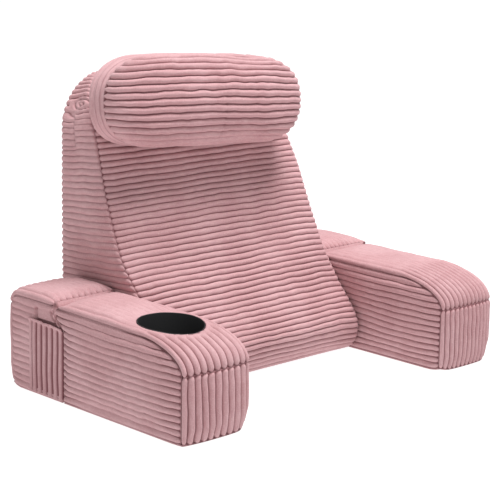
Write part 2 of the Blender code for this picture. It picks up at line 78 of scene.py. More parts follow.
ARM_CROWN, TOP_CROWN, END_CROWN = 0.0037, 0.0050, 0.0020   # how far sides, tops and ends swell
ARM_INNER = arm_low[0]
ARM_OUTER = arm_high[0] - ARM_CROWN
FRONT_Y = arm_low[1] + END_CROWN
SEAM_Y = arm_high[1]
REAR_BLOCK_Y = rear_low[1]
REAR_Y = rear_high[1] - END_CROWN
BACK_Y = wedge_high[1] + 0.0015              # the back panel lies just outside its solid
ARM_ROUND, BLOCK_ROUND = 0.0075, 0.0035      # an arm's long edges, and the edges between blocks
BOW = 0.0050                    # the arms' front ends bow out by this much
FACING_LIP = 0.0028             # a facing stands proud of the roll above it by this much
ROLL_LENGTH, ROLL_HEIGHT, REAR_ROLL = 0.108, 0.048, 0.021
TOP_FRONT, TOP_REAR = 0.148, 0.150           # height of an arm's top, in front and behind
WELL_X, WELL_Y = -0.2794, FRONT_Y + 0.0970
WELL_RADIUS, WELL_FLOOR = 0.0495, 0.056
print("arm from", [round(value, 4) for value in (ARM_INNER, FRONT_Y)],
      "to", [round(value, 4) for value in (ARM_OUTER, REAR_Y)])

# %% [markdown]
# ## Paths, rounding and soft noise
#
# Each cushion is drawn from its side profile. A small class reads a profile by the distance along
# it. Cloth is never even, so a soft noise is wanted too: random hills on a lattice, eased between
# the lattice's points. It is seeded, so the pillow comes out the same every time.


# %% Paths and noise
class Path:
    """A line through 2-D points, read by the distance along it."""

    def __init__(self, points):
        self.points = np.array(points, float)
        steps = np.linalg.norm(np.diff(self.points, axis=0), axis=1)
        self.marks = np.concatenate([[0.0], np.cumsum(steps)])
        self.length = float(self.marks[-1])

    def at(self, distance):
        return np.stack([np.interp(distance, self.marks, self.points[:, axis])
                         for axis in (0, 1)], axis=-1)

    def normal(self, distance, reach=0.003):
        distance = np.clip(distance, reach, self.length - reach)
        ahead = self.at(distance + reach) - self.at(distance - reach)
        side = np.stack([-ahead[..., 1], ahead[..., 0]], axis=-1)
        return side / np.linalg.norm(side, axis=-1, keepdims=True)


def smooth_path(points, per_span=10):
    """A Catmull-Rom curve through the points."""
    ends = np.array([points[0]] + list(points) + [points[-1]], float)
    t = np.linspace(0, 1, per_span, endpoint=False)[:, None]
    spans = []
    for a, b, c, d in zip(ends, ends[1:], ends[2:], ends[3:]):
        spans.append(0.5 * (2 * b + (c - a) * t + (2 * a - 5 * b + 4 * c - d) * t ** 2
                            + (3 * b - a - 3 * c + d) * t ** 3))
    return np.concatenate(spans + [ends[-1:]])


def ease(value):
    """0 below 0, 1 above 1 and a smooth step between them."""
    value = np.clip(value, 0.0, 1.0)
    return value * value * (3 - 2 * value)


def drop(distance, radius):
    """How far a face has curved away at this distance from its sharp edge."""
    inside = np.clip(radius - distance, 0.0, radius)
    return radius - np.sqrt(radius ** 2 - inside ** 2)


def corner_inset(radius):
    """How far the middle of a rounded corner lies inside the sharp one."""
    return radius * (1 - math.sqrt(0.5))


def crown(across, along):
    """1 in the middle of a panel and 0 at its border, as a filled cushion swells."""
    return (1 - np.abs(2 * across - 1) ** 4) * (1 - np.abs(2 * along - 1) ** 4)


def between_four(look, i, j, s, t):
    """Blends the values that look finds at row i or i + 1 and column j or j + 1."""
    near = look(i, j) * (1 - s) + look(i + 1, j) * s
    far = look(i, j + 1) * (1 - s) + look(i + 1, j + 1) * s
    return near * (1 - t) + far * t


def soft_noise(seed, a, b, cell, size=64):
    """Random hills from -1 to 1, one hill to a cell. They repeat after size cells."""
    table = np.random.RandomState(seed).uniform(-1, 1, (size, size))
    a, b = np.broadcast_arrays(np.asarray(a) / cell, np.asarray(b) / cell)
    i, j = np.floor(a).astype(int), np.floor(b).astype(int)

    def look(row, column):
        return table[row % size, column % size]

    return between_four(look, i, j, ease(a - i), ease(b - j))


def hills(kinds, seed, a, b):
    """Adds up hills of several kinds. A kind is a step of the seed, a height and a cell."""
    return sum(height * soft_noise(seed + step, a, b, cell) for step, height, cell in kinds)


print("a hill of noise", round(float(soft_noise(1, 0.3, 0.4, 0.1)), 3))

# %% [markdown]
# ## A shell that is sewn from panels
#
# On the real pillow a cushion's cover is cut as flat panels that are sewn edge to edge. The shell
# below is made the same way. A panel is a grid of points on a smooth surface, with eight rows to a
# rib. The crest of each rib is on the surface and its grooves are pressed in. A rib's end is round
# like a fingertip, because the seam pinches it. The panel's border is then sewn to a seam line
# that lies deeper still. A smooth box with a ribbed bump map would be quicker, but its outline
# would stay smooth, and its seams would have no fingertips.


# %% A rib
RIB_STEPS = np.array([0.0, 0.08, 0.20, 0.35, 0.50, 0.65, 0.80, 0.92])
END_STEPS = np.array([0.0, 0.0008, 0.0019, 0.0034, 0.0052])


def rib_rows(ribs):
    return np.append((np.arange(ribs)[:, None] + RIB_STEPS).ravel(), ribs)


def stations(length, spacing):
    """Fractions along a rib, closer together at both ends."""
    middle = np.linspace(END_STEPS[-1], length - END_STEPS[-1], max(int(length / spacing), 4))[1:-1]
    return np.concatenate([END_STEPS, middle, length - END_STEPS[::-1]]) / length


def rib_height(phase, end):
    """0 in the groove and 1 on the crest. end is the distance from the rib's end."""
    reach = np.clip(0.16 + 0.84 * end / FINGER, 0.0, 1.0)
    width = np.sqrt(1 - (1 - reach) ** 2)
    off_centre = np.abs(2 * (phase % 1.0) - 1) / np.maximum(width, 0.05)
    return np.clip(1 - off_centre ** 2.35, 0, 1) * width


def read_table(table, across, along):
    """Reads a table of vectors at fractions across and along it."""
    rows, columns = table.shape[0] - 1, table.shape[1] - 1
    a, b = np.clip(across, 0, 1) * rows, np.clip(along, 0, 1) * columns
    i, j = np.minimum(a.astype(int), rows - 1), np.minimum(b.astype(int), columns - 1)
    s, t = (a - i)[..., None], (b - j)[..., None]
    return between_four(lambda row, column: table[row, column], i, j, s, t)


def border(grid):
    """The rim of a grid as one closed loop."""
    return np.concatenate([grid[0, :-1], grid[:-1, -1], grid[-1, :0:-1], grid[:0:-1, 0]]).tolist()


def loop_of(*lines):
    return [number for line in lines for number in line[:-1]]


def back(line):
    return line[::-1]


print("points across a rib", len(RIB_STEPS), "and a rib's crest", float(rib_height(0.5, FINGER)))


# %% The shell
DRIFT = ((0, 0.0011, 0.075), (1, 0.0007, 0.023), (6, 0.0004, 0.012))    # ribs wander sideways
LUMPS = ((3, 0.0006, 0.045), (7, 0.0003, 0.014))                        # and rise and fall
UNEVEN_GROOVE, UNEVEN_CELL = 0.15, 0.03
CALM = 24                       # how fast the unevenness starts, going inwards from a border
SWELL_FROM_EDGE = 0.020         # the filling's swell fades out this close to a border
DENT_SHADE = 0.45               # painted shade makes a dent in the cloth darker by this share
SEAM_SHADE, FLAT_SHADE = 0.35, 0.8      # painted shade of the seams, and the light one of panels without ribs, as a height on a rib
CLOTH_STEP = 3.1                # keeps the pile of neighbouring panels from matching up


class Shell:
    """Points and faces of one cushion's cover, gathered panel by panel.

    A rough shell has no ribs, and its few points are for the simulation of the filling. Its
    panels' offsets are handed to the fine shell, which is built by the same calls. held lists
    the points that the simulation pins."""

    def __init__(self, name, middle, offsets=None, rough=False):
        self.name, self.middle, self.rough = name, np.array(middle, float), rough
        self.offsets = list(offsets or [])
        self.points, self.ribs, self.cloth, self.faces = [], [], [], []
        self.panels, self.held = [], []

    def add(self, points, rib=0.0, cloth=(0.0, 0.0)):
        """Adds points, with their painted shade, given as a height on a rib, and their place on the
        cloth.
        """
        points = np.asarray(points, float)
        shape = points.shape[:-1]
        first = len(self.points)
        self.points.extend(map(tuple, points.reshape(-1, 3)))
        self.ribs.extend(np.broadcast_to(rib, shape).ravel().tolist())
        cloth = np.broadcast_to(np.asarray(cloth, float), shape + (2,))
        self.cloth.extend(map(tuple, cloth.reshape(-1, 2)))
        return np.arange(first, len(self.points)).reshape(shape)

    def weave(self, grid, closed=False):
        """Faces between the rows of a grid of point numbers."""
        if closed:
            grid = np.concatenate([grid, grid[:, :1]], axis=1)
        a, b, c, d = grid[:-1, :-1], grid[:-1, 1:], grid[1:, 1:], grid[1:, :-1]
        self.faces.extend(map(tuple, np.stack([a, b, c, d], -1).reshape(-1, 4).tolist()))

    def step(self):
        return ROUGH_STEP if self.rough else SEAM_STEP

    def panel(self, surface, ribs, width, length, seed, groove=GROOVE, press=None, dents=(),
              held=None, hidden=False, spacing=SPACING, wobble=1.0, twist=None, gather=None,
              closed=False):
        """A ribbed panel on surface(across, along), which gives the crests' points.

        press gives the share of the groove's depth and of its painted shade at a place, twist bends
        the ribs, and gather puts another pattern in their place. A hidden panel is flat and has no
        ribs."""
        plain = self.rough or hidden
        if plain:
            rows, columns = [np.linspace(0, 1, max(round(size / ROUGH_STEP), 3) + 1)
                             for size in (width, length)]
        else:
            rows, columns = rib_rows(ribs) / ribs, stations(length, spacing)
        if closed:
            columns = np.linspace(0, 1, round(length / (ROUGH_STEP if self.rough else spacing)))[:-1]
        across, along = np.meshgrid(rows, columns, indexing="ij")
        wide, long = across * width, along * length
        cloth = np.stack([wide + CLOTH_STEP * (seed % 7), long], -1)
        if plain:
            points = surface(across, along)
            grid = self.add(points, FLAT_SHADE, cloth)
            fixed = np.full(across.shape, hidden) if held is None else held(points) | hidden
            self.held.extend(grid[fixed].tolist())
            self.panels.append(grid)
            if self.offsets:
                self.offsets.pop(0)
        else:
            calm = (np.clip(CALM * across * (1 - across), 0, 1)
                    * np.clip(CALM * along * (1 - along), 0, 1))
            moved, turned = across + wobble * calm * hills(DRIFT, seed, wide, long) / width, along
            if twist is not None:
                moved, turned = twist(moved, along)
            points = surface(moved, turned)
            if self.offsets:
                from_edge = np.minimum(wide, width - wide)
                if not closed:
                    from_edge = np.minimum(from_edge, np.minimum(long, length - long))
                share = ease(from_edge / SWELL_FROM_EDGE)
                points = points + share[..., None] * read_table(self.offsets.pop(0), moved, turned)
            end = np.full(along.shape, length) if closed else np.minimum(along, 1 - along) * length
            phase = np.broadcast_to(rows[:, None] * ribs, across.shape)
            crest = rib_height(phase, end) if gather is None else gather(phase, end, moved, turned)
            force = np.ones_like(across) if press is None else press(moved, turned)
            uneven = UNEVEN_GROOVE * calm * soft_noise(seed + 2, wide, long, UNEVEN_CELL)
            sunk = groove * force * (1 + uneven) * (1 - crest) + hills(LUMPS, seed, wide, long) * calm
            # Painted shade: the lower on a rib and the deeper the groove, the darker the colour.
            shade = 1 - (1 - crest) * np.clip(force, 0, 1) ** 0.7
            # A dent sinks the cloth, and painted shade makes it darker.
            for place_across, place_along, half_across, half_along, deep in dents:
                hollow = np.exp(-((wide - place_across) / half_across) ** 2
                                - ((long - place_along) / half_along) ** 2)
                sunk = sunk + deep * hollow
                shade = shade * (1 - DENT_SHADE * hollow)
            grid = self.add(points - self.outward(points) * sunk[..., None], shade, cloth)
        self.weave(grid, closed)
        return grid

    def outward(self, points):
        """Directions square to a panel, pointing away from the middle of its cushion."""
        square = np.cross(np.gradient(points, axis=0), np.gradient(points, axis=1))
        square = square / np.maximum(np.linalg.norm(square, axis=-1, keepdims=True), 1e-12)
        away = points.reshape(-1, 3).mean(axis=0) - self.middle
        return square if (square.reshape(-1, 3) @ away).sum() > 0 else -square

    def seam(self, points, shade=SEAM_SHADE):
        numbers = self.add(points, shade).tolist()
        self.held.extend(numbers)
        return numbers

    def straight(self, first, last, a, b):
        """A seam from point number first at a to point number last at b."""
        count = max(int(np.linalg.norm(b - a) / self.step()), 2)
        middle = (a + (b - a) * np.linspace(0, 1, count + 1)[:, None])[1:-1]
        return [first] + self.seam(middle) + [last]

    def patch(self, loop, *details, **more):
        """A panel that is sewn to a closed loop of seams all round."""
        self.sew(border(self.panel(*details, **more)), loop)

    def sew(self, inner, outer):
        """Joins two closed loops with a band of triangles, wherever each of them starts."""
        spots = np.array(self.points)
        inner, outer = list(inner), list(outer)
        start = int(np.argmin(np.linalg.norm(spots[outer] - spots[inner[0]], axis=1)))
        outer = outer[start:] + outer[:start]
        quarter_in = spots[inner[len(inner) // 4]]
        same = np.linalg.norm(spots[outer[len(outer) // 4]] - quarter_in)
        other = np.linalg.norm(spots[outer[-(len(outer) // 4)]] - quarter_in)
        if other < same:
            outer = outer[:1] + outer[:0:-1]
        inner, outer = inner + inner[:1], outer + outer[:1]
        a, b = spots[inner], spots[outer]
        i = j = 0
        while i < len(inner) - 1 or j < len(outer) - 1:
            if j == len(outer) - 1:
                step_inner = True
            elif i == len(inner) - 1:
                step_inner = False
            else:
                ahead_in, ahead_out = a[i + 1] - b[j], a[i] - b[j + 1]
                step_inner = ahead_in @ ahead_in <= ahead_out @ ahead_out
            if step_inner:
                self.faces.append((inner[i], outer[j], inner[i + 1]))
                i += 1
            else:
                self.faces.append((inner[i], outer[j], outer[j + 1]))
                j += 1

    def mesh(self):
        mesh = bpy.data.meshes.new(self.name)
        mesh.from_pydata(self.points, [], self.faces)
        layer = mesh.attributes.new("rib", "FLOAT", "POINT")
        layer.data.foreach_set("value", np.array(self.ribs, np.float32))
        layer = mesh.attributes.new("cloth", "FLOAT2", "POINT")
        layer.data.foreach_set("vector", np.array(self.cloth, np.float32).ravel())
        turned = bmesh.new()
        turned.from_mesh(mesh)
        bmesh.ops.recalc_face_normals(turned, faces=turned.faces[:])
        turned.to_mesh(mesh)
        turned.free()
        mesh.shade_smooth()
        return mesh

    def finish(self, material):
        mesh = self.mesh()
        mesh.materials.append(material)
        piece = bpy.data.objects.new(self.name, mesh)
        bpy.context.scene.collection.objects.link(piece)
        triangles = sum(len(face) - 2 for face in self.faces)
        print(self.name, len(mesh.vertices), "points,", triangles, "triangles")
        return piece


print("hidden panels and rough shells have a point every", ROUGH_STEP * 1000, "mm")


# %% [markdown]
# ## The filling
#
# Foam and fibre push the cloth outwards, and the seams hold it in. That is what Blender's cloth
# simulation does well, so each rough shell is blown up a little: its seams and the faces that rest
# on something are pinned, gravity is off, and the cloth has a touch more length than it needs, so
# that it buckles near the corners. What is kept is only how far each point of a panel moved. The
# ribs are added after that, on the fine shell, because they are far smaller than the steps of a
# simulation that runs in a few seconds.

# %% Simulate the filling
FILL_CAP = 0.0050               # the swell levels off towards this
FILL_FRAMES = 20                # the cloth has come to rest by then
FILLING = {"quality": 6, "mass": 0.3, "tension_stiffness": 12, "compression_stiffness": 12,
           "shear_stiffness": 4, "bending_stiffness": 0.4, "use_pressure": True,
           "uniform_pressure_force": 4, "shrink_min": -0.012, "vertex_group_mass": "held"}


def blurred(table):
    """Each offset eased towards its neighbours', which takes out single spikes."""
    padded = np.pad(table, ((1, 1), (1, 1), (0, 0)), mode="edge")
    around = padded[:-2, 1:-1] + padded[2:, 1:-1] + padded[1:-1, :-2] + padded[1:-1, 2:]
    return 0.4 * table + 0.15 * around


def blow_up(shells):
    """Runs all the rough shells together and returns each one's panel offsets."""
    scene = bpy.context.scene
    pieces = []
    for shell in shells:
        piece = bpy.data.objects.new(shell.name + "_rough", shell.mesh())
        scene.collection.objects.link(piece)
        held = piece.vertex_groups.new(name="held")
        held.add(sorted(set(shell.held)), 1.0, "REPLACE")
        cloth = piece.modifiers.new("filling", "CLOTH")
        for name, value in FILLING.items():
            setattr(cloth.settings, name, value)
        cloth.settings.effector_weights.gravity = 0
        cloth.collision_settings.use_collision = False
        cloth.point_cache.frame_start, cloth.point_cache.frame_end = 1, FILL_FRAMES
        pieces.append(piece)
    for number in range(1, FILL_FRAMES + 1):
        scene.frame_set(number)
    results = []
    for shell, piece in zip(shells, pieces):
        blown = piece.evaluated_get(bpy.context.evaluated_depsgraph_get()).data
        spots = np.empty(len(blown.vertices) * 3, np.float32)
        blown.vertices.foreach_get("co", spots)
        moved = spots.reshape(-1, 3).astype(float) - np.array(shell.points)
        size = np.maximum(np.linalg.norm(moved, axis=1, keepdims=True), 1e-9)
        moved = moved / size * FILL_CAP * np.tanh(size / FILL_CAP)
        results.append([blurred(blurred(moved[grid])) for grid in shell.panels])
        most = float(np.linalg.norm(moved, axis=1).max())
        print(shell.name, "swells by up to", round(most * 1000, 1), "mm")
    for piece in pieces:
        mesh = piece.data
        bpy.data.objects.remove(piece, do_unlink=True)
        bpy.data.meshes.remove(mesh)
    scene.frame_set(1)
    return results


# %% [markdown]
# ## Velvet corduroy as a material
#
# The pile of a velvet is short and dense. Seen straight on it is a dusty rose, and along its edges
# the tips of the pile catch the light and go pale, which the shader's sheen does. Deep in the
# grooves hardly any light gets in, and that shade is painted into the colour as a dark mauve. The
# painted shade follows a value that each panel left on its points, from its rib height, its seams
# and its dents. Maths on sockets is written as plain expressions, by a small class that adds the
# Math node for each operator.


# %% Shader helpers
class Wire:
    """A number on a socket. Adding or multiplying wires adds the Math node that does it."""

    def __init__(self, finish, socket):
        self.finish, self.socket = finish, socket

    def maths(self, operation, first, second):
        return self.finish.node("ShaderNodeMath", {"operation": operation}, {0: first, 1: second})

    def __add__(self, other):
        return self.maths("ADD", self, other)

    def __mul__(self, other):
        return self.maths("MULTIPLY", self, other)

    __radd__, __rmul__ = __add__, __mul__


class Finish:
    """One material while it is being wired up."""

    def __init__(self, name):
        self.material = bpy.data.materials.new(name)
        self.material.use_nodes = True
        self.tree = self.material.node_tree
        self.shader = self.tree.nodes["Principled BSDF"]

    def node(self, kind, settings=None, sockets=None, output=0):
        node = self.tree.nodes.new(kind)
        for name, value in (settings or {}).items():
            setattr(node, name, value)
        self.connect(node, sockets or {})
        return Wire(self, self.find(node.outputs, output))

    @staticmethod
    def find(sockets, key):
        if isinstance(key, int):
            return sockets[key]
        return next(socket for socket in sockets if key in (socket.identifier, socket.name))

    def connect(self, node, sockets):
        for key, value in sockets.items():
            socket = self.find(node.inputs, key)
            if isinstance(value, Wire):
                self.tree.links.new(value.socket, socket)
            else:
                socket.default_value = value

    def mix(self, share, first, second):
        return self.node("ShaderNodeMix", {"data_type": "RGBA"},
                         {"Factor_Float": share, "A_Color": first, "B_Color": second}, "Result_Color")

    def noise(self, place, scale, detail):
        return self.node("ShaderNodeTexNoise", None,
                         {"Vector": place, "Scale": scale, "Detail": detail}, "Fac")

    def between(self, value, low, high):
        """0 below low and 1 above high, with an eased step."""
        return self.node("ShaderNodeMapRange", {"interpolation_type": "SMOOTHSTEP"},
                         {"Value": value, "From Min": low, "From Max": high}, "Result")

    def bump(self, height, strength, distance):
        return self.node("ShaderNodeBump", None,
                         {"Strength": strength, "Distance": distance, "Height": height})

    def surface(self, **sockets):
        self.connect(self.shader, {name.replace("_", " "): value for name, value in sockets.items()})
        return self.material


def srgb(red, green, blue):
    """A colour as a screen shows it, from 0 to 255, turned into the shader's linear numbers."""
    parts = [value / 255 for value in (red, green, blue)]
    return tuple(part / 12.92 if part <= 0.04045 else ((part + 0.055) / 1.055) ** 2.4
                 for part in parts) + (1.0,)


print("a colour of 128 on a screen is", round(srgb(128, 128, 128)[0], 3), "to the shader")

# %% Corduroy and liner
ROSE, PALE_ROSE, DEEP_ROSE = srgb(196, 152, 155), srgb(207, 166, 169), srgb(182, 134, 138)
# The second colour on the next line is painted shade for the grooves, seams and dents.
PILE_TIPS, GROOVE_PAINTED_SHADE = srgb(222, 189, 192), srgb(126, 79, 83)


def make_corduroy():
    finish = Finish("rose_corduroy")
    rib = finish.node("ShaderNodeAttribute", {"attribute_name": "rib"}, output="Fac")
    cloth = finish.node("ShaderNodeAttribute", {"attribute_name": "cloth"}, output="Vector")
    along = finish.node("ShaderNodeVectorMath", {"operation": "MULTIPLY"},
                        {0: cloth, 1: (1.0, 0.22, 1.0)})
    place = finish.node("ShaderNodeTexCoord", output="Object")
    cloud = finish.noise(place, 11.0, 3.0)
    streak = finish.noise(along, 300.0, 3.0)
    clump = finish.noise(place, 520.0, 3.0)
    pile = finish.noise(place, 1900.0, 2.0)
    crest = finish.mix(finish.between(cloud, 0.35, 0.65), ROSE, PALE_ROSE)
    crest = finish.mix(finish.between(streak, 0.35, 0.75) * 0.45, crest, DEEP_ROSE)
    crest = finish.mix(finish.between(clump, 0.45, 0.8) * 0.5, crest, PILE_TIPS)
    # Painted shade: the colour goes from the crest's rose to dark mauve where the rib value is low.
    colour = finish.mix(finish.between(rib, -0.08, 0.62), GROOVE_PAINTED_SHADE, crest)
    normal = finish.bump(streak * 0.35 + clump * 0.4 + pile * 0.25, 0.45, 0.0007)
    return finish.surface(Base_Color=colour, Roughness=0.95, Normal=normal, Sheen_Weight=0.35,
                          Sheen_Roughness=0.4, Sheen_Tint=srgb(255, 232, 235),
                          Specular_IOR_Level=0.1)


def make_liner_finish():
    finish = Finish("black_liner")
    place = finish.node("ShaderNodeTexCoord", output="Object")
    grain = finish.noise(place, 900.0, 2.0)
    colour = finish.mix(grain, srgb(16, 16, 18), srgb(30, 30, 32))
    return finish.surface(Base_Color=colour, Roughness=0.6, Normal=finish.bump(grain, 0.2, 0.0003))


corduroy, liner_finish = make_corduroy(), make_liner_finish()
print("materials", corduroy.name, liner_finish.name)

# %% [markdown]
# ## The wedge's outline
#
# The front panel follows one side profile, and the sides and top follow two outlines, one at the
# front panel's edge and one at the back. They are worked out before any cloth is made, because the
# arms lie against the wedge and have to know where it is.

# %% The wedge's profile and outline
PROFILE = (                     # height, and distance forwards from the arms' rear ends
    (0.000, 0.1990), (0.008, 0.2130), (0.022, 0.2230), (0.045, 0.2270), (0.062, 0.2215),
    (0.083, 0.2070), (0.111, 0.1830), (0.142, 0.1600), (0.188, 0.1275), (0.240, 0.1025),
    (0.300, 0.0767), (0.345, 0.0567), (0.382, 0.0400), (0.420, 0.0230), (0.448, 0.0080),
    (0.464, -0.0060), (0.470, -0.0190),
)
WEDGE_HALF, WEDGE_TOP, WEDGE_ROUND = wedge_high[0], 0.470, 0.008
WEDGE_TAPER, TAPER_POWER = 0.0110, 2.2
CORNER_HEIGHT, CORNER_FRONT, CORNER_BACK = 0.088, 0.060, 0.087
CORNER_START = WEDGE_TOP - CORNER_HEIGHT
WEDGE_BOW = 0.0070              # how far the front panel's edges bow out halfway up
BOW_START, BOW_RISE, BOW_STOP, BOW_FALL = 0.14, 0.07, 0.40, 0.12
UP_SLOPE = np.array([0, 0.41, 0.912])        # along the front panel
OFF_PANEL = np.array([0, -0.912, 0.41])      # straight out from it
front_path = Path(smooth_path([(REAR_Y - forward, height) for height, forward in PROFILE]))


def panel_depth(height):
    """The front panel's y at a height."""
    return np.interp(height, front_path.points[:, 1], front_path.points[:, 0])


def half_width(height, at_front):
    """Half the wedge's width at a height, along its front edge or its back edge."""
    taper, bow, corner = (WEDGE_TAPER, WEDGE_BOW, CORNER_FRONT) if at_front else (0, 0, CORNER_BACK)
    side = WEDGE_HALF - taper * np.clip(height / CORNER_START, 0, 1) ** TAPER_POWER
    side = side + bow * ease((height - BOW_START) / BOW_RISE) * ease((BOW_STOP - height) / BOW_FALL)
    up = np.clip((height - CORNER_START) / CORNER_HEIGHT, 0, 1)
    return side - corner * (1 - np.sqrt(1 - up ** 2))


def outline(at_front):
    """Up the left side, over the top and down the right side."""
    height = np.concatenate([np.linspace(0, CORNER_START, 80, endpoint=False),
                             CORNER_START + CORNER_HEIGHT * np.sin(np.linspace(0, math.pi / 2, 60))])
    left = np.stack([-half_width(height, at_front), height], -1)
    right = left[::-1] * (-1, 1)
    return Path(np.concatenate([left, right]))


print("front panel", round(front_path.length, 3), "m up the slope")

# %% [markdown]
# ## One block of an arm
#
# A strip with ribs along its length goes over the top and rolls down over the end. A facing panel
# with upright ribs closes the end, and two side panels with level ribs close the sides. The seams
# are chains of points that neighbouring panels share. Hands have brushed the flat top smooth, so
# its ribs only stand out on the roll.


# %% Side views of the blocks
class ArmProfile:
    """Side view of a block, counted inwards from the end that faces outwards.

    roll_arc is how far up the roll the ribs stay crisp, and fullness how well the top is filled."""

    def __init__(self, facing_y, seam_y, roll, top_start, top_stop, roll_arc, fullness):
        self.facing_y, self.inwards = facing_y, 1 if seam_y > facing_y else -1
        self.length, self.top_stop = abs(seam_y - facing_y), top_stop
        self.roll_length, self.roll_height = roll
        self.roll_arc, self.fullness = roll_arc, fullness
        self.seam_height = top_start - self.roll_height
        angle = np.linspace(0, math.pi / 2, 60)
        points = np.stack([self.roll_length * (1 - np.cos(angle)),
                           self.seam_height + self.roll_height * np.sin(angle)], -1)
        self.path = Path(np.concatenate([points, [[self.length, top_stop]]]))
        self.roll_end = self.path.marks[59]


def front_block(extra):
    """extra is how much higher the block is stuffed."""
    return ArmProfile(FRONT_Y, SEAM_Y, (ROLL_LENGTH, ROLL_HEIGHT), TOP_FRONT + extra, TOP_REAR + extra,
                      0.100, 0.4)


def rear_block(extra):
    return ArmProfile(REAR_Y, REAR_BLOCK_Y, (REAR_ROLL, REAR_ROLL), TOP_REAR + extra, TOP_REAR + extra,
                      0.012, 1.1)


print("blocks are", [round(float(make(0).length), 3) for make in (front_block, rear_block)], "m long")

# %% The hollow behind the pocket
HOLLOW_DEPTH, FLAP_DEPTH, SLOT_DEPTH = 0.0070, 0.0018, 0.0064
HOLLOW_WALL, SLOT = 0.0018, 0.0021
HOLLOW_FROM, HOLLOW_TO, HOLLOW_FOOT, HOLLOW_TOP = 0.058, 0.116, 0.010, 0.1380
POCKET_TRIM = 0.010             # the patch is this much narrower than its solid


def pocket_hollow(inward, height):
    """Where the rear block gives way behind the pocket, from 0 to 1, and by how much.

    Above the pocket's mouth a smooth flap lies there, with a slot on either side of it."""
    above = ease((height - pocket_high[2] + 0.004) / 0.004)
    start = HOLLOW_FROM + 0.011 * above
    stop = HOLLOW_TO + 0.05 * ease((pocket_high[2] - 0.002 - height) / 0.002)
    along = ease((inward - start) / HOLLOW_WALL) * ease((stop - inward) / HOLLOW_WALL)
    up = ease((height - HOLLOW_FOOT) / HOLLOW_WALL) * ease((HOLLOW_TOP - height) / HOLLOW_WALL)
    flap = ease((height - pocket_high[2] - 0.0030) / 0.0025)
    slots = np.exp(-((inward - start) / SLOT) ** 2) + np.exp(-((inward - stop) / SLOT) ** 2)
    deep = along * up * (HOLLOW_DEPTH + (FLAP_DEPTH - HOLLOW_DEPTH) * flap)
    return along * up, deep + SLOT_DEPTH * slots * up * above


print("the hollow is", round(float(pocket_hollow(0.085, 0.05)[1]) * 1000, 1), "mm deep")


# %% One block
FOOT_ROUND, FOOT = 0.004, 0.0024      # how round the lower edges are, and how far in the panels start
WORN, PINCHED, WELT = 0.18, 0.9, 0.5  # what is left of the grooves: on top, at the seam, at the sides
SIDE_FADE = 0.060                     # ribs lose their crispness over this length from a side's ends


def corner_path(radius, width):
    """Across a block and round both its edges: the distance sideways, and how far it falls back."""
    turn = np.linspace(0, math.pi / 2, 12)
    first = np.stack([radius * (1 - np.cos(turn)), radius * (1 - np.sin(turn))], -1)
    return Path(np.concatenate([first, first[::-1] * (-1, 1) + (width, 0)]))


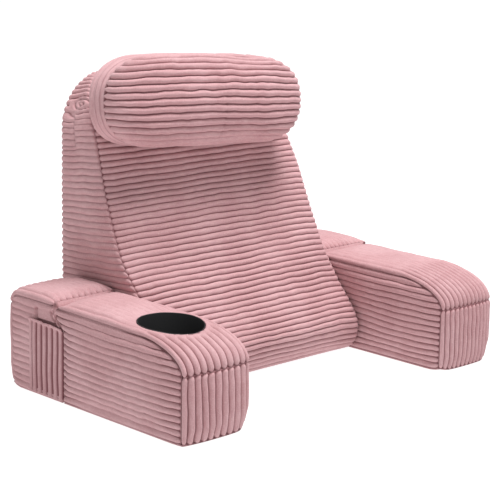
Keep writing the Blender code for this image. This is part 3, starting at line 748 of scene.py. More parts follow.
def arm_block(shell, side, profile, seed, rib=RIB, pocket=False, well=False, dents=()):
    """side is -1 for the arm with the well and 1 for the plain one."""
    radius, end_edge = ARM_ROUND, corner_inset(BLOCK_ROUND)
    reach, end_rim, end_tight = radius + MARGIN, end_edge + MARGIN, end_edge + SINK
    length, tall, width = profile.length, profile.top_stop, ARM_OUTER - ARM_INNER
    cross = corner_path(radius, width)

    def place(x, inward, z):
        x, inward, z = np.broadcast_arrays(x, inward, z)
        return np.stack([side * x, profile.facing_y + profile.inwards * inward, z], -1)

    def bow(sideways):
        """The end of a filled block is fuller in the middle of its width."""
        return BOW * (1 - np.abs(2 * sideways / width - 1) ** 2.4)

    roll_marks = np.linspace(0, profile.roll_end, 60)
    under = profile.path.at(roll_marks) - profile.path.normal(roll_marks) * reach

    def side_surface(x_plane, outward, bulge):
        def surface(across, along):
            z = FOOT + (profile.seam_height + profile.roll_height - reach - FOOT) * across
            first, last = np.interp(z, under[:, 1], under[:, 0]), length - end_rim
            inward = first + (last - first) * along
            rise = np.clip((inward - profile.roll_length) / (length - profile.roll_length), 0, 1)
            z = z + (tall - profile.seam_height - profile.roll_height) * rise * across
            out = bulge * crown(across, along) - drop(z, FOOT_ROUND)
            out = out - drop(length - inward, BLOCK_ROUND)
            if pocket and outward > 0:
                out = out - pocket_hollow(inward, z)[1]
            return place(x_plane + outward * out, inward, z)
        return surface

    def sideways_at(across):
        return cross.at(MARGIN + (cross.length - 2 * MARGIN) * across)

    def strip_surface(across, along):
        first, last = MARGIN, profile.path.length - end_rim
        distance = first + (last - first) * along
        sideways = sideways_at(across)
        spot, normal = profile.path.at(distance), profile.path.normal(distance)
        away = sideways[..., 1] + drop(profile.path.length - distance, BLOCK_ROUND)
        lift = bow(sideways[..., 0]) * ease(1 - distance / profile.roll_arc)
        lift = lift + profile.fullness * TOP_CROWN * crown(across, along)
        spot = spot + normal * (lift - away)[..., None]
        return place(ARM_INNER + sideways[..., 0], spot[..., 0], spot[..., 1])

    def facing_surface(across, along):
        z = FOOT + (profile.seam_height - FOOT - MARGIN) * along
        sideways = sideways_at(across)
        bowed = bow(sideways[..., 0])
        lip = FACING_LIP * np.exp(-((profile.seam_height - z) / 0.010) ** 2) * bowed / BOW
        return place(ARM_INNER + sideways[..., 0],
                     sideways[..., 1] + drop(z, FOOT_ROUND) - bowed - lip, z)

    def floor_surface(across, along):
        x = ARM_INNER + FOOT + (width - 2 * FOOT) * across
        return place(x, FOOT + (length - FOOT - end_rim) * along, 0.0)

    def end_surface(across, along):
        x = ARM_INNER + FOOT + (width - 2 * FOOT) * across
        z = FOOT + (tall - 2 * FOOT) * along
        away = drop(x - ARM_INNER, radius) + drop(ARM_OUTER - x, radius) + drop(tall - z, radius)
        return place(x, length - away, z)

    side_seams = {"i": ARM_INNER + SINK, "o": ARM_OUTER - SINK}
    corner = {}
    for key, x in side_seams.items():
        for name, inward, z in (("foot", radius, SEAM_LOW), ("seam", radius, profile.seam_height),
                                ("top", length - end_tight, tall - radius),
                                ("base", length - end_tight, SEAM_LOW)):
            spot = place(x, inward, z)
            corner[key + name] = (shell.seam(spot[None])[0], spot)

    def chain(start, stop, points, shade):
        return [corner[start][0]] + shell.seam(points[1:-1], shade) + [corner[stop][0]]

    def straight(start, stop):
        (first, a), (last, b) = corner[start], corner[stop]
        return shell.straight(first, last, a, b)

    def round_the_edges(name):
        """A seam that crosses the block and wraps round both edges."""
        distance = np.linspace(0, cross.length, int(cross.length / shell.step()))
        sink = 1.7 * SINK if name == "seam" else SINK
        sideways = cross.at(distance) + cross.normal(distance, 0.0015) * sink
        x, fallen = ARM_INNER + sideways[:, 0], sideways[:, 1]
        if name == "top":
            where = place(x, length - end_tight, tall - fallen)
        elif name == "seam":
            where = place(x, fallen - bow(sideways[:, 0]) - 0.4 * FACING_LIP, profile.seam_height)
        else:
            where = place(x, fallen - bow(sideways[:, 0]), SEAM_LOW)
        # The seams that cross the block are painted with a dark shade.
        return chain("i" + name, "o" + name, where, 0.2)

    def long_seam(key):
        """The seam between the top strip and a side. On the flat top it is pulled in less and painted
        with less shade.
        """
        distance = np.linspace(0, profile.path.length, int(profile.path.length / shell.step()))
        spot = profile.path.at(distance) - profile.path.normal(distance) * radius
        flat = ease((distance - profile.roll_arc) / 0.05)
        x = side_seams[key] + (0.0014 if key == "o" else -0.0014) * flat
        return chain(key + "seam", key + "top", place(x, spot[:, 0], spot[:, 1]),
                     (SEAM_SHADE + 0.4 * flat)[1:-1])

    long_inner, long_outer = long_seam("i"), long_seam("o")
    front_foot, seam, top = round_the_edges("foot"), round_the_edges("seam"), round_the_edges("top")
    base = straight("ibase", "obase")
    rise_inner, rise_outer = straight("ifoot", "iseam"), straight("ofoot", "oseam")
    end_inner, end_outer = straight("ibase", "itop"), straight("obase", "otop")
    floor_inner, floor_outer = straight("ifoot", "ibase"), straight("ofoot", "obase")

    ribs_across, ribs_high = round(cross.length / rib), round(tall / RIB) - 1
    strip_length = profile.path.length - MARGIN - end_rim

    def against_wedge(points):
        return points[..., 1] > panel_depth(points[..., 2]) - 0.012

    def off_well(points):
        return np.hypot(points[..., 0] - WELL_X, points[..., 1] - WELL_Y) - WELL_RADIUS

    def brushed(across, along):
        """The strip's grooves are whole on the roll and at the seams, and nearly gone on top."""
        distance = along * strip_length
        roll = ease((profile.roll_arc + 0.050 - distance) / 0.06)
        worn = WORN + 0.10 * soft_noise(seed + 40, across * width, distance, 0.04)
        welt = WELT * ease((np.abs(2 * across - 1) - 0.72) / 0.06)
        pinched = PINCHED * ease((distance - strip_length + 0.013) / 0.009)
        force = np.maximum(np.maximum(roll, pinched), np.maximum(worn, welt))
        if well:
            force = force * ease((off_well(strip_surface(across, along)) - 0.001) / 0.010)
        return force

    def side_force(across, along):
        """Crisp where the ribs are pinched by a seam, softer in the middle of the panel."""
        middle, at_end = (0.34, 0.60) if pocket else (0.60, 0.95)
        soft = middle + 0.16 * soft_noise(seed + 41, across * 0.15, along * length, 0.06)
        from_end = np.minimum(along, 1 - along) * length
        force = soft + (at_end - soft) * ease(1 - from_end / SIDE_FADE)
        if pocket:
            inward = reach + (length - reach - end_rim) * along
            z = FOOT + (tall - reach - FOOT) * across
            force = force * (1 - 0.97 * pocket_hollow(inward, z)[0])
        return force

    shell.patch(loop_of(floor_inner, end_inner, back(long_inner), back(rise_inner)),
                side_surface(ARM_INNER, -1, 0.0), ribs_high, tall, length, seed, held=against_wedge,
                press=lambda across, along: 0.5 + 0.5 * side_force(across, along))
    shell.patch(loop_of(floor_outer, end_outer, back(long_outer), back(rise_outer)),
                side_surface(ARM_OUTER, 1, 0.0 if pocket else 0.4 * ARM_CROWN), ribs_high, tall, length,
                seed + 5, press=side_force, dents=dents, spacing=SPACING / 2 if pocket else SPACING,
                held=(lambda points: points[..., 2] >= 0) if pocket else None)
    shell.patch(loop_of(long_inner, top, back(long_outer), back(seam)), strip_surface, ribs_across,
                cross.length, strip_length, seed + 10, press=brushed, groove=0.45 * rib,
                held=(lambda points: off_well(points) < 0.012) if well else None)
    shell.patch(loop_of(rise_inner, seam, back(rise_outer), back(front_foot)), facing_surface,
                ribs_across, cross.length, profile.seam_height, seed + 15, wobble=1.3,
                groove=0.45 * rib)
    shell.patch(loop_of(floor_inner, base, back(floor_outer), back(front_foot)), floor_surface,
                ribs_across, width, length, seed + 20, hidden=True)
    shell.patch(loop_of(end_inner, top, back(end_outer), back(base)), end_surface, ribs_across, width,
                tall, seed + 25, hidden=True)


print("an arm block is", round((ARM_OUTER - ARM_INNER) * 1000, 1), "mm wide")

# %% [markdown]
# ## How the blocks settle
#
# Three things on the real arms can't be drawn as a profile. Their lower corners are rubbed round.
# On the arm with the cup well the front block leans over the rear one at its upper outer corner, so
# the seam between them bends there, and that block also spreads a little at its front end. All
# three are small moves of finished points.

# %% Settling
LEAN_INNER, LEAN_OUTER, STEP_FORWARD = 0.020, 0.013, 0.007
LEAN_ABOVE, LEAN_EASE, LEAN_REACH, LEAN_ROUND = 0.108, 0.028, 0.034, 0.023
LEAN_X, LEAN_WIDTH = 0.292, 0.045            # the block's shoulder is round from here outwards
CORNER_LIFT, CORNER_DRAW, CORNER_REACH, CORNER_TALL = 0.0035, 0.0020, 0.013, 0.035
CUP_CORNERS = ((ARM_INNER, FRONT_Y, 2.2), (ARM_OUTER, FRONT_Y, 0.3), (ARM_OUTER, REAR_Y, 1.4))
PLAIN_CORNERS = ((ARM_INNER, FRONT_Y, 1.2), (ARM_OUTER, FRONT_Y, 2.4), (ARM_OUTER, REAR_Y, 1.4))
FLARE, FLARE_WIDTH, FLARE_LENGTH = 0.0035, 0.08, 0.12


def settle(points, cup_side):
    """Moves the points of an arm. Each corner's last number is how well rubbed it is."""
    points = np.array(points, float)
    x, y, z = np.abs(points[:, 0]), points[:, 1], points[:, 2]
    for corner_x, corner_y, rubbed in CUP_CORNERS if cup_side else PLAIN_CORNERS:
        near = np.exp(-((x - corner_x) ** 2 + (y - corner_y) ** 2) / CORNER_REACH ** 2)
        rubbed = rubbed * near * np.clip(1 - z / CORNER_TALL, 0, 1)
        inwards = 1 if corner_x == ARM_INNER else -1
        points[:, 0] += np.sign(points[:, 0]) * inwards * CORNER_DRAW * rubbed
        points[:, 1] += (1 if corner_y == FRONT_Y else -1) * CORNER_DRAW * rubbed
        points[:, 2] += CORNER_LIFT * rubbed
    if cup_side:
        outer = ease((x - LEAN_X) / LEAN_WIDTH)
        past_y, past_z = y - SEAM_Y + LEAN_ROUND, z - TOP_REAR + LEAN_ROUND
        off = np.hypot(past_y, past_z)
        round_off = (y < SEAM_Y) & (past_y > 0) & (past_z > 0) & (off > LEAN_ROUND)
        pull = np.where(round_off, 1 - LEAN_ROUND / np.maximum(off, 1e-6), 0) * outer
        points[:, 1] -= past_y * pull
        points[:, 2] -= past_z * pull
        high = ease((z - LEAN_ABOVE) / LEAN_EASE)
        near = np.exp(-((y - SEAM_Y) / LEAN_REACH) ** 2)
        part = np.clip((x - ARM_INNER) / (ARM_OUTER - ARM_INNER), 0, 1)
        lean = LEAN_INNER + (LEAN_OUTER - LEAN_INNER) * part
        points[:, 1] += (lean * high - STEP_FORWARD * (1 - high)) * near
        inner = np.clip(1 - (x - ARM_INNER) / FLARE_WIDTH, 0, 1)
        points[:, 0] += FLARE * inner * (1 - ease((y - FRONT_Y) / FLARE_LENGTH))
    return [tuple(point) for point in points.tolist()]


print("the shoulder between the blocks has a radius of", LEAN_ROUND * 1000, "mm")


# %% [markdown]
# ## The backrest wedge
#
# Front panel and back panel have level ribs. A boxing strip with ribs across its width runs up one
# side, over the top and down the other. Its ribs climb a little towards the front, because the
# strip was cut square and the front edge leans. Where the strip turns the rounded corner, its ribs
# are gathered into a small knot.

# %% The wedge's panels
RIB_CLIMB = 0.0115              # how much higher a rib of the strip is at its front end
KNOT = {"up": 0.420, "deep": 0.040, "squash": 0.24, "ring": 0.0062, "reach": 0.0160, "push": 0.0068}
BREAK = {"deep": 0.062, "low": 0.345, "high": 0.408}        # distances along and across the strip
BOXING = 0.12                   # how wide the boxing strip is cut


def make_wedge(shell):
    radius = WEDGE_ROUND
    edge = corner_inset(radius)
    rim, tight = edge + MARGIN, edge + SINK
    lines = {True: outline(True), False: outline(False)}
    around, width = lines[False].length, 2 * WEDGE_HALF

    def front_surface(across, along):
        distance = rim + (front_path.length - 2 * rim) * across
        spot, normal = front_path.at(distance), front_path.normal(distance)
        half = half_width(np.minimum(spot[..., 1], WEDGE_TOP - rim), True) - rim
        x = -half + 2 * half * along
        away = drop(half_width(spot[..., 1], True) - np.abs(x), radius) + drop(spot[..., 1], 0.004)
        spot = spot - normal * away[..., None]
        return np.stack([x, spot[..., 0], spot[..., 1]], -1)

    def back_surface(across, along):
        z = rim + (WEDGE_TOP - 2 * rim) * across
        half = half_width(z, False) - rim
        x = -half + 2 * half * along
        away = (drop(half_width(z, False) - np.abs(x), radius) + drop(z, radius)
                + drop(WEDGE_TOP - z, radius))
        return np.stack([x, BACK_Y - away, z], -1)

    def rim_point(part, at_front):
        line = lines[at_front]
        if at_front:
            up = np.minimum(part, 1 - part) * line.length
            climb = RIB_CLIMB * ease(up / 0.09) * ease((0.50 - up) / 0.10)
            part = part + np.where(part < 0.5, climb, -climb) / line.length
        spot, normal = line.at(part * line.length), line.normal(part * line.length)
        y = panel_depth(spot[..., 1]) if at_front else np.full(part.shape, BACK_Y)
        points = np.stack([spot[..., 0], y, spot[..., 1]], -1)
        return points, np.stack([normal[..., 0], np.zeros_like(y), normal[..., 1]], -1)

    def boxing_surface(across, along):
        inset = rim / around
        part = inset + (1 - 2 * inset) * across
        (front, out_front), (rear, out_rear) = rim_point(part, True), rim_point(part, False)
        deep = np.linalg.norm(rear - front, axis=-1)
        share = rim / deep + (1 - 2 * rim / deep) * along
        point = front + (rear - front) * share[..., None]
        normal = out_front + (out_rear - out_front) * share[..., None]
        normal = normal / np.linalg.norm(normal, axis=-1, keepdims=True)
        away = drop(share * deep, radius) + drop((1 - share) * deep, radius)
        return point - normal * away[..., None]

    def from_knot(across, along):
        """How far up from the knot a place is, how far behind it, and how far off with a squash."""
        up, deep = across * around - KNOT["up"], along * BOXING - KNOT["deep"]
        return up, deep, np.hypot(up, deep * KNOT["squash"])

    def part_the_ribs(across, along):
        """Pushes the ribs above and below the knot away from it."""
        up, deep, _ = from_knot(across, along)
        near = np.exp(-(up / 0.030) ** 2 - (deep * KNOT["squash"] / 0.014) ** 2)
        return across + KNOT["push"] * np.tanh(up / 0.008) * near / around, along

    def gather(phase, end, across, along):
        """Rings round the knot, and a line where the ribs break and go on half a rib higher."""
        up, deep, off = from_knot(across, along)
        height, beside = across * around, along * BOXING - BREAK["deep"]
        broken = ease((height - BREAK["low"]) / 0.01) * ease((BREAK["high"] - height) / 0.01)
        phase = phase + 0.5 * broken * (beside > 0)
        crest = rib_height(phase, np.minimum(end, np.abs(beside) * 1.2 + 0.02 * (1 - broken)))
        off = off * (1 + 0.16 * soft_noise(173, up + 1, deep + 1, 0.012))
        ring = rib_height(off / KNOT["ring"] + 0.5, 1.0)
        share = ease((KNOT["reach"] - off) / 0.004)
        return crest * (1 - share) + ring * share

    def floor_surface(across, along):
        near, far = panel_depth(0.0), BACK_Y
        y = near + rim + (far - near - 2 * rim) * across
        x = (2 * along - 1) * (WEDGE_HALF - rim)
        return np.stack([x, y, np.zeros_like(x)], -1)

    def rim_seam(at_front):
        part = np.linspace(0, 1, int(lines[at_front].length / shell.step()))
        point, normal = rim_point(part, at_front)
        inwards = -OFF_PANEL if at_front else np.array([0, -1.0, 0])
        point = point - normal * tight + inwards * tight
        point[[0, -1], 2] = SEAM_LOW
        return point

    front_points, back_points = rim_seam(True), rim_seam(False)
    front_rim, back_rim = shell.seam(front_points), shell.seam(back_points)
    rims = {"front": (front_rim, front_points), "back": (back_rim, back_points)}

    def foot(start, first, stop, last):
        """A seam on the floor between two ends of the rims. End 0 is left and end -1 is right."""
        (numbers, points), (others, spots) = rims[start], rims[stop]
        return shell.straight(numbers[first], others[last], points[first], spots[last])

    front_foot, back_foot = foot("front", 0, "front", -1), foot("back", 0, "back", -1)
    left_foot, right_foot = foot("front", 0, "back", 0), foot("front", -1, "back", -1)

    def under_bolster(points):
        return points[..., 2] > 0.30

    def against_arms(points):
        return (points[..., 2] < TOP_REAR + 0.01) & (np.abs(points[..., 0]) > 0.2)

    def front_force(across, along):
        return 0.98 + 0.12 * soft_noise(171, across * 0.5, along * 0.4, 0.07)

    def boxing_force(across, along):
        near = ease((KNOT["reach"] + 0.004 - from_knot(across, along)[2]) / 0.006)
        return 0.66 + 0.12 * soft_noise(172, across * around, along * BOXING, 0.05) + 0.30 * near

    shell.patch(loop_of(front_foot, back(front_rim)), front_surface, round(front_path.length / RIB),
                front_path.length, width, 70, press=front_force, held=under_bolster, spacing=0.0054)
    shell.patch(loop_of(back_foot, back(back_rim)), back_surface, round(WEDGE_TOP / RIB), WEDGE_TOP,
                width, 75, spacing=0.013)
    shell.patch(loop_of(left_foot, back_rim, back(right_foot), back(front_rim)), boxing_surface,
                round(around / RIB), around, BOXING, 80, twist=part_the_ribs, gather=gather,
                press=boxing_force, held=against_arms, spacing=0.0042)
    depth = BACK_Y - float(panel_depth(0.0))
    shell.patch(loop_of(front_foot, right_foot, back(back_foot), back(left_foot)), floor_surface,
                round(depth / RIB), depth, width, 85, hidden=True)


# %% [markdown]
# ## The head bolster
#
# Two long panels with rounded ends face forwards and backwards. A narrow strip is sewn between
# them all the way round, and its ribs follow the outline. The bolster thins towards its ends and
# lies tilted on the sloping front panel.

# %% The bolster's shape
BOLSTER = {
    "half_length": 0.2052, "half_height": 0.0734, "half_depth": 0.0562,
    "end": 0.0890,              # length of a rounded end
    "end_power": 2.5, "section_power": 3.2, "front_power": 2.35,
    "arch": 0.108, "thin_ends": 0.12, "droop": 0.0025,
    "front_seam": 0.0085, "right_extra": 0.014, "back_seam": -0.0300,
    "tilt": math.radians(3.30), "nod": math.radians(20.0),
}
BOLSTER_CENTRE = (np.array([-0.0240, REAR_Y - 0.0400, 0.382])       # a point of the front panel
                  + UP_SLOPE * 0.0250 + OFF_PANEL * 0.0536)
BOLSTER_UP = UP_SLOPE * math.cos(BOLSTER["nod"]) + OFF_PANEL * math.sin(BOLSTER["nod"])
BOLSTER_OUT = OFF_PANEL * math.cos(BOLSTER["nod"]) - UP_SLOPE * math.sin(BOLSTER["nod"])
REST_GAP, SOFT_REST = 0.0012, 0.004     # how close the bolster's back lies, and how softly


def lie_on_panel(points):
    """Flattens the back of the bolster where it would sink into the front panel."""
    off = (panel_depth(points[..., 2]) - points[..., 1]) * UP_SLOPE[2] - REST_GAP
    eased = 0.5 * (off + np.sqrt(off ** 2 + SOFT_REST ** 2))
    return points + (eased - off)[..., None] * OFF_PANEL


def bolster_place(x, eta, out):
    """x along the bolster, eta up it from -1 to 1, out towards the front from -1 to 1."""
    size = BOLSTER
    reach = np.clip(np.abs(x) / size["half_length"], 0, 1)
    tall = eta * size["half_height"] * (1 - size["arch"] * reach ** 2)
    deep = out * size["half_depth"] * (1 - size["thin_ends"] * reach ** 4)
    c, s = math.cos(size["tilt"]), math.sin(size["tilt"])
    level, up = x * c + tall * s, tall * c - x * s - size["droop"] * reach ** 2
    return lie_on_panel(BOLSTER_CENTRE + level[..., None] * np.array([1.0, 0, 0])
                        + up[..., None] * BOLSTER_UP + deep[..., None] * BOLSTER_OUT)


def rim_share(depth):
    """The gauge at which the bolster has fallen back to this depth from its middle."""
    size = BOLSTER
    power = size["section_power"]
    return (1 - (np.abs(depth) / size["half_depth"]) ** power) ** (1 / power)


print("the bolster is", round(2 * BOLSTER["half_length"], 3), "m long")

# %% The bolster's panels
FACE_GROOVE, RIM_GROOVE = 0.0056, 0.0009
RAGGED = 0.0019                 # ribs stop up to twice this short of the seam
RIM_SWELL, GUTTER, GUTTER_SLOPE = 0.0014, 0.0018, 0.0040
# A crease or dent, sunk in and painted darker with shade: its place across and along, half its size
# each way, and its depth.
CREASES = ((0.085, 0.235, 0.030, 0.0030, 0.0012), (0.040, 0.236, 0.022, 0.0026, 0.0014),
           (0.110, 0.300, 0.030, 0.0030, 0.0011))


def make_bolster(shell):
    size = BOLSTER
    straight = size["half_length"] - size["end"]
    q, p = size["end_power"], size["section_power"]

    def seam_depth(front, eta, rightwards):
        """How far in front of the middle a seam is. At the right end the front one is further out."""
        if front < 0:
            return size["back_seam"] + 0 * eta
        return size["front_seam"] + size["right_extra"] * rightwards * (1 - eta ** 2)

    def gauge(x, eta):
        """0 along the middle of a face and 1 where it would end in a sharp rim."""
        beyond = np.clip((np.abs(x) - straight) / size["end"], 0, None)
        return np.where(beyond > 0, (beyond ** q + np.abs(eta) ** q) ** (1 / q), np.abs(eta))

    def bulge(g, x, front):
        """The front face is rounder in the middle of its length than at its ends."""
        at_end = ease((np.abs(x) / straight - 0.55) / 0.6) if front > 0 else 1.0
        power = p + (size["front_power"] - p) * (1 - at_end)
        return np.clip(1 - g ** power, 0, 1) ** (1 / power)

    def face_surface(front):
        """Reads the face from a table with even steps of arc both ways."""
        angle = np.linspace(0, math.pi, 600)
        section = np.stack([-np.sign(np.cos(angle)) * np.abs(np.cos(angle)) ** (2 / p),
                            np.sin(angle) ** (2 / p)], -1)
        rim = abs(seam_depth(front, 1.0, 0)) + MARGIN
        section = section[section[:, 1] * size["half_depth"] >= rim]
        arc = Path(section * (size["half_height"], size["half_depth"]))
        etas = arc.at(np.linspace(0, 1, 61) * arc.length)[:, 0] / size["half_height"]
        table = np.zeros((61, 81, 2))
        for row, eta in enumerate(etas):
            far = []
            for rightwards in (0, 1):
                edge = rim_share(abs(seam_depth(front, eta, rightwards)) + MARGIN)
                far.append(straight + size["end"] * max(edge ** q - abs(eta) ** q, 0) ** (1 / q))
            x = np.sin(np.linspace(-math.pi / 2, math.pi / 2, 400))
            x = x * np.where(x < 0, far[0], far[1])
            line = Path(np.stack([x, size["half_depth"] * bulge(gauge(x, eta + 0 * x), x, front)], -1))
            table[row, :, 0] = line.at(np.linspace(0, 1, 81) * line.length)[:, 0]
            table[row, :, 1] = eta

        def surface(across, along):
            spot = read_table(table, across, along)
            x, eta = spot[..., 0], spot[..., 1]
            return bolster_place(x, eta, front * bulge(gauge(x, eta), x, front))
        return surface, arc.length

    quarter = np.linspace(0, math.pi / 2, 60)
    cosine, sine = np.cos(quarter) ** (2 / q), np.sin(quarter) ** (2 / q)
    arc = np.stack([np.full(60, straight), size["end"] * cosine, sine], -1)
    half = np.concatenate([arc[::-1], (arc * (1, 1, -1))[1:]])
    whole = np.concatenate([half, half[::-1] * (-1, -1, 1), half[:1]])
    outline_path = Path(np.stack([whole[:, 0] + whole[:, 1], whole[:, 2] * size["half_height"]], -1))
    around = outline_path.length

    def rim_points(part, share_of_way, swell=0.0):
        """Points round the edge, from the back seam at 0 to the front seam at 1."""
        level, end, eta = [np.interp(part * around, outline_path.marks, whole[:, axis])
                           for axis in range(3)]
        first, last = seam_depth(-1, eta, 0), seam_depth(1, eta, level > 0)
        depth = first + (last - first) * share_of_way
        share = rim_share(depth) + swell / size["half_height"]
        return bolster_place(level + end * share, eta * share, depth / size["half_depth"])

    def rightness(part):
        """0 in the left half of the bolster and 1 at its right end."""
        return ease(np.interp(part * around, outline_path.marks, whole[:, 0]) / straight)

    def strip_surface(across, along):
        """A round rim behind, and a gutter that deepens from it to the front seam."""
        rim = RIM_SWELL * np.exp(-((across - 0.13) / 0.10) ** 2)
        gutter = GUTTER * ease((across - 0.22) / 0.10) + GUTTER_SLOPE * ease((across - 0.30) / 0.65)
        return rim_points(along, 0.03 + 0.94 * across, rim - gutter * (1 - 0.9 * rightness(along)))

    count = int(around / shell.step())
    part = np.linspace(0, 1, count, endpoint=False)
    # The front seam is painted with a dark shade.
    seams = {1: shell.seam(rim_points(part, np.ones(count), 0.0042 * rightness(part) - 0.0074), 0.2),
             -1: shell.seam(rim_points(part, np.zeros(count), -SINK))}

    def soft_foot(across, along):
        """The ribs are pressed flat along the bottom and at the far right."""
        return (0.40 + 0.60 * ease((across - 0.04) / 0.30)) * (1 - 0.8 * ease((along - 0.940) / 0.035))

    def ragged(phase, end, across, along):
        """Every rib stops a little short of the seam, and no two at the same place."""
        short = RAGGED * (1 + soft_noise(174, np.floor(phase), along > 0.5, 1.0))
        return rib_height(phase, np.maximum(end - short, 0))

    long_way = 2 * size["half_length"] + 0.03
    surface, up = face_surface(1)
    shell.patch(seams[1], surface, round(up / WIDE_RIB), up, long_way, 90, dents=CREASES,
                press=soft_foot, groove=FACE_GROOVE, gather=ragged, wobble=1.4)
    surface, up = face_surface(-1)
    shell.patch(seams[-1], surface, round(up / WIDE_RIB), up, long_way, 95,
                held=lambda points: points[..., 2] > 0, press=lambda across, along: 0.25 + 0 * across)

    def rim_force(across, along):
        crisp = 0.55 + 0.25 * soft_noise(175, along * around, across, 0.05)
        return crisp * ease((across - 0.24) / 0.10)

    strip = size["front_seam"] - size["back_seam"]
    left_end = outline_path.marks[outline_path.points[:, 0].argmin()]
    # The crescent is a shallow dent near the left end, painted darker with shade.
    crescent = ((0.78 * strip, left_end, 0.32 * strip, 0.095, 0.0017),)
    grid = shell.panel(strip_surface, 4, strip, around, 98, closed=True, groove=RIM_GROOVE,
                       press=rim_force, dents=crescent)
    shell.sew(grid[-1].tolist(), seams[1])
    shell.sew(grid[0].tolist(), seams[-1])


# %% [markdown]
# ## Make the cushions
#
# Every cushion is built twice by the same function: rough for the simulation, and fine for the
# render with the offsets that the simulation left.

# %% Build all the cushions
# Dents, sunk in and painted darker with shade, have the same five numbers as the bolster's creases.
SIDE_DENTS = ((0.030, 0.070, 0.012, 0.0022, 0.0020), (0.066, 0.262, 0.010, 0.0020, 0.0016))


def arm_maker(side, profile, seed, *details, **more):
    return lambda shell: arm_block(shell, side, profile, seed, *details, **more)


makers = {
    "cup_arm_front": arm_maker(-1, front_block(0.0), 200, WIDE_RIB, well=True, dents=SIDE_DENTS),
    "plain_arm_front": arm_maker(1, front_block(0.0025), 300),
    "cup_arm_rear": arm_maker(-1, rear_block(0.002), 400, WIDE_RIB, pocket=True),
    "plain_arm_rear": arm_maker(1, rear_block(0.0065), 500),
    "back_wedge": make_wedge,
    "head_bolster": make_bolster,
}


def own(piece, node):
    """Rides on the pillow's one body and stands for a solid."""
    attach(piece, "root")
    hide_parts(node)
    return piece


def new_shell(node, offsets=None, rough=False):
    low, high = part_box(node)
    return Shell(node + "_cover", (np.array(low) + np.array(high)) / 2, offsets, rough)


rough_shells = []
for node, maker in makers.items():
    shell = new_shell(node, rough=True)
    maker(shell)
    rough_shells.append(shell)
offsets = blow_up(rough_shells) if rough_shells else [None] * len(makers)

covers = {}
for (node, maker), moved in zip(makers.items(), offsets):
    shell = new_shell(node, moved)
    maker(shell)
    if "arm" in node:
        shell.points = settle(shell.points, node.startswith("cup"))
    covers[node] = own(shell.finish(corduroy), node)

# %% [markdown]
# ## The cup well
#
# The well is a round hole that goes down into the front block. It is cut from the finished cover
# with a Boolean, and its wall is then the lining of the hole. A black cup with a narrow lip hangs
# in it.


# %% Cut the well and fit the liner
WELL_SIDES, CUTTER_TALL = 96, 0.2
WALL, LIP_REACH = 0.0016, 0.0025        # the liner's wall, and where the cloth under its lip is felt


def cut_well(arm):
    bpy.ops.mesh.primitive_cylinder_add(vertices=WELL_SIDES, radius=WELL_RADIUS, depth=CUTTER_TALL)
    cutter = bpy.context.object
    cutter.location = (WELL_X, WELL_Y, WELL_FLOOR + CUTTER_TALL / 2)
    boolean = arm.modifiers.new("well", "BOOLEAN")
    boolean.operation, boolean.solver, boolean.object = "DIFFERENCE", "EXACT", cutter
    bpy.context.view_layer.update()
    cut = bpy.data.meshes.new_from_object(arm.evaluated_get(bpy.context.evaluated_depsgraph_get()))
    arm.modifiers.clear()
    old, arm.data = arm.data, cut
    bpy.data.meshes.remove(old)
    bpy.data.objects.remove(cutter, do_unlink=True)


def rim_heights(arm, angle, radius):
    """How high the arm's cloth is round the well."""
    heights = []
    for turn in angle:
        above = Vector((WELL_X + radius * math.cos(turn), WELL_Y + radius * math.sin(turn), 0.3))
        heights.append(arm.ray_cast(above, Vector((0, 0, -1)))[1].z)
    return np.array(heights)


def make_liner(arm):
    """A moulded cup with a thin wall and a lip that follows the top of the arm."""
    angle = np.linspace(0, 2 * math.pi, WELL_SIDES, endpoint=False)
    cloth = rim_heights(arm, angle, WELL_RADIUS + LIP_REACH)
    cloth = (np.roll(cloth, 1) + cloth + np.roll(cloth, -1)) / 3
    shell = Shell("cup_liner_shell", (WELL_X, WELL_Y, 0.1))
    outer, floor = WELL_RADIUS - 0.0004, WELL_FLOOR + 0.0004
    inner = outer - WALL
    profile = [(outer - 0.004, floor, 0), (outer - 0.001, floor + 0.001, 0), (outer, floor + 0.004, 0),
               (outer, -0.0020, 1), (outer + 0.0002, 0.0004, 1), (outer - 0.0004, 0.0009, 1),
               (inner + 0.0003, 0.0009, 1), (inner, 0.0002, 1), (inner, floor + 0.005, 0),
               (inner - 0.001, floor + 0.0028, 0), (inner - 0.004, floor + WALL, 0)]
    rings = []
    for radius, height, on_cloth in profile:
        x, y = radius * np.cos(angle), radius * np.sin(angle)
        z = cloth * on_cloth + height
        rings.append(shell.add(np.stack([WELL_X + x, WELL_Y + y, z], -1)))
    shell.weave(np.array(rings), closed=True)
    shell.faces.extend(tuple(ring.tolist()) for ring in (rings[0], rings[-1]))
    return shell.finish(liner_finish)


liner = make_liner(covers["cup_arm_front"])
cut_well(covers["cup_arm_front"])
own(liner, "cup_liner")

# %% [markdown]
# ## The side pocket
#
# A patch of the same cloth with its ribs upright, sewn on at three edges. The mouth is turned over
# and stitched, so it ends in a smooth roll. The sheet itself waves with the ribs.


# %% Make the pocket
CLOTH_THICK, HEM, WAVE, BAND = 0.0015, 0.0030, 0.0036, 0.0045
POCKET_RIBS, PATCH_EXTRA = 6, 0.0030


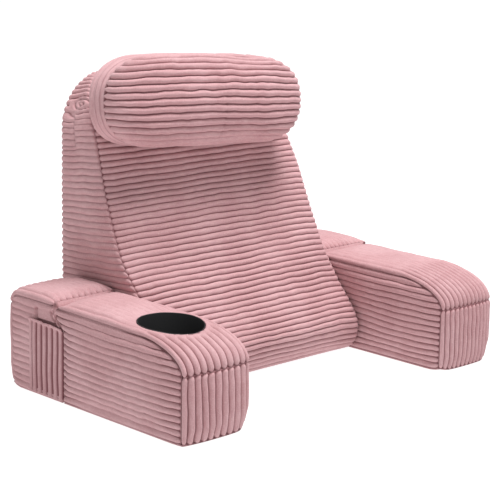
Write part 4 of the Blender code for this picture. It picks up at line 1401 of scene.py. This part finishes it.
def make_pocket():
    shell = Shell("side_pocket_patch", (0, 0.1, 0.06))
    x0, z0, rear = pocket_low[0], pocket_low[2], pocket_high[1] - POCKET_TRIM
    tall, wide = pocket_high[2] + PATCH_EXTRA - z0, rear - (pocket_low[1] - PATCH_EXTRA)

    def ridge(across):
        """1 on a rib and 0 between two ribs. The rear edge is a smooth band."""
        part = (across * wide - BAND) / (wide - BAND)
        return np.where(part < 0, 0.75, 0.5 - 0.5 * np.cos(2 * np.pi * part * POCKET_RIBS))

    def depth_at(across, along):
        """How far the cloth has gone in between its ribs."""
        below = (1 - along) * tall
        deep = WAVE * (0.2 + 0.8 * ease((below - HEM) / 0.003)) * ease((along * tall + 0.006) / 0.012)
        return deep * (1 - ridge(across))

    def surface(across, along, inside):
        sway = 0.0011 * soft_noise(600, across * wide, along * tall, 0.04)
        y = rear - wide * across + sway * ease(across * wide / 0.01) * ease((1 - across) * wide / 0.01)
        below = (1 - along) * tall
        roll = np.exp(-((below - HEM / 2) / (HEM / 1.6)) ** 4)
        z = z0 + (tall - 0.0030 * across + 0.0007 * soft_noise(601, across * wide, 0, 0.007)) * along
        x = x0 + 0.0012 - 0.0015 * roll + depth_at(across, along)
        return np.stack([x + inside * (CLOTH_THICK + 0.0012 * roll), y, z], -1)

    across, along = np.meshgrid(np.linspace(0, 1, 70), stations(tall, 0.003), indexing="ij")
    # Painted shade: the valleys between the pocket's ribs are darker, and its inner side darker still.
    crest = 1 - np.clip(depth_at(across, along) / WAVE * 1.1, 0, 1)
    cloth = np.stack([across * wide + 9.0, along * tall], -1)
    outer = shell.add(surface(across, along, 0), crest, cloth)
    inner = shell.add(surface(across, along, 1), crest * 0.6, cloth)
    shell.weave(outer)
    shell.weave(inner)
    shell.sew(border(outer), border(inner))
    shell.points = settle(shell.points, True)
    return shell.finish(corduroy)


pocket = own(make_pocket(), "side_pocket")

# %% [markdown]
# ## Floor, light and camera
#
# The pillow stands on a plain white floor that glows a little, like a light table, so that only a
# faint shadow is left. One broad, soft lamp hangs above the front right and draws the ribs, and an
# even white surround fills the rest. The camera looks from the front left through a long lens.


# %% Stage
def make_floor():
    bpy.ops.mesh.primitive_plane_add(size=60, location=(0, 0, 0))
    floor = bpy.context.object
    floor.name = "studio_floor"
    finish = Finish("pale_floor")
    floor.data.materials.append(finish.surface(Base_Color=(0.22, 0.22, 0.22, 1), Roughness=0.9,
                                               Emission_Color=(1, 1, 1, 1), Emission_Strength=0.95))


def soft_lamp(name, place, target, power, size):
    light = bpy.data.lights.new(name, "AREA")
    light.shape, light.size, light.energy = "DISK", size, power
    lamp = bpy.data.objects.new(name, light)
    bpy.context.scene.collection.objects.link(lamp)
    lamp.location = place
    lamp.rotation_euler = (Vector(place) - Vector(target)).to_track_quat("Z", "Y").to_euler()


make_floor()
soft_lamp("key", (0.50, -0.66, 4.4), (0, 0, 0.2), power=232, size=2.1)
world = bpy.data.worlds.new("studio")
bpy.context.scene.world = world
world.use_nodes = True
surround = world.node_tree.nodes["Background"].inputs
surround["Color"].default_value = (1, 1, 1, 1)
surround["Strength"].default_value = 0.395
bpy.context.scene.view_settings.view_transform = "Standard"
print("lamps", [lamp.name for lamp in bpy.data.lights])

# %% Camera
YAW, PITCH, ROLL = math.radians(44.57), math.radians(12.25), math.radians(1.16)
STAND = (-1.7663, REAR_Y - 1.9701, 0.7412)
LENS = 116.6                    # in millimetres, on a sensor 36 mm wide
ahead = Vector((math.sin(YAW) * math.cos(PITCH), math.cos(YAW) * math.cos(PITCH), -math.sin(PITCH)))
level = Vector((math.cos(YAW), -math.sin(YAW), 0))
above = level.cross(ahead)
right = level * math.cos(ROLL) + above * math.sin(ROLL)
upward = above * math.cos(ROLL) - level * math.sin(ROLL)
camera = bpy.data.objects.new("camera", bpy.data.cameras.new("camera"))
bpy.context.scene.collection.objects.link(camera)
pose = Matrix((right, upward, -ahead)).transposed().to_4x4()
pose.translation = Vector(STAND)
camera.matrix_world = pose
camera.data.sensor_width = 36
camera.data.lens = LENS
bpy.context.scene.camera = camera
print("the camera stands", round(pose.translation.length, 2), "m from the pillow")
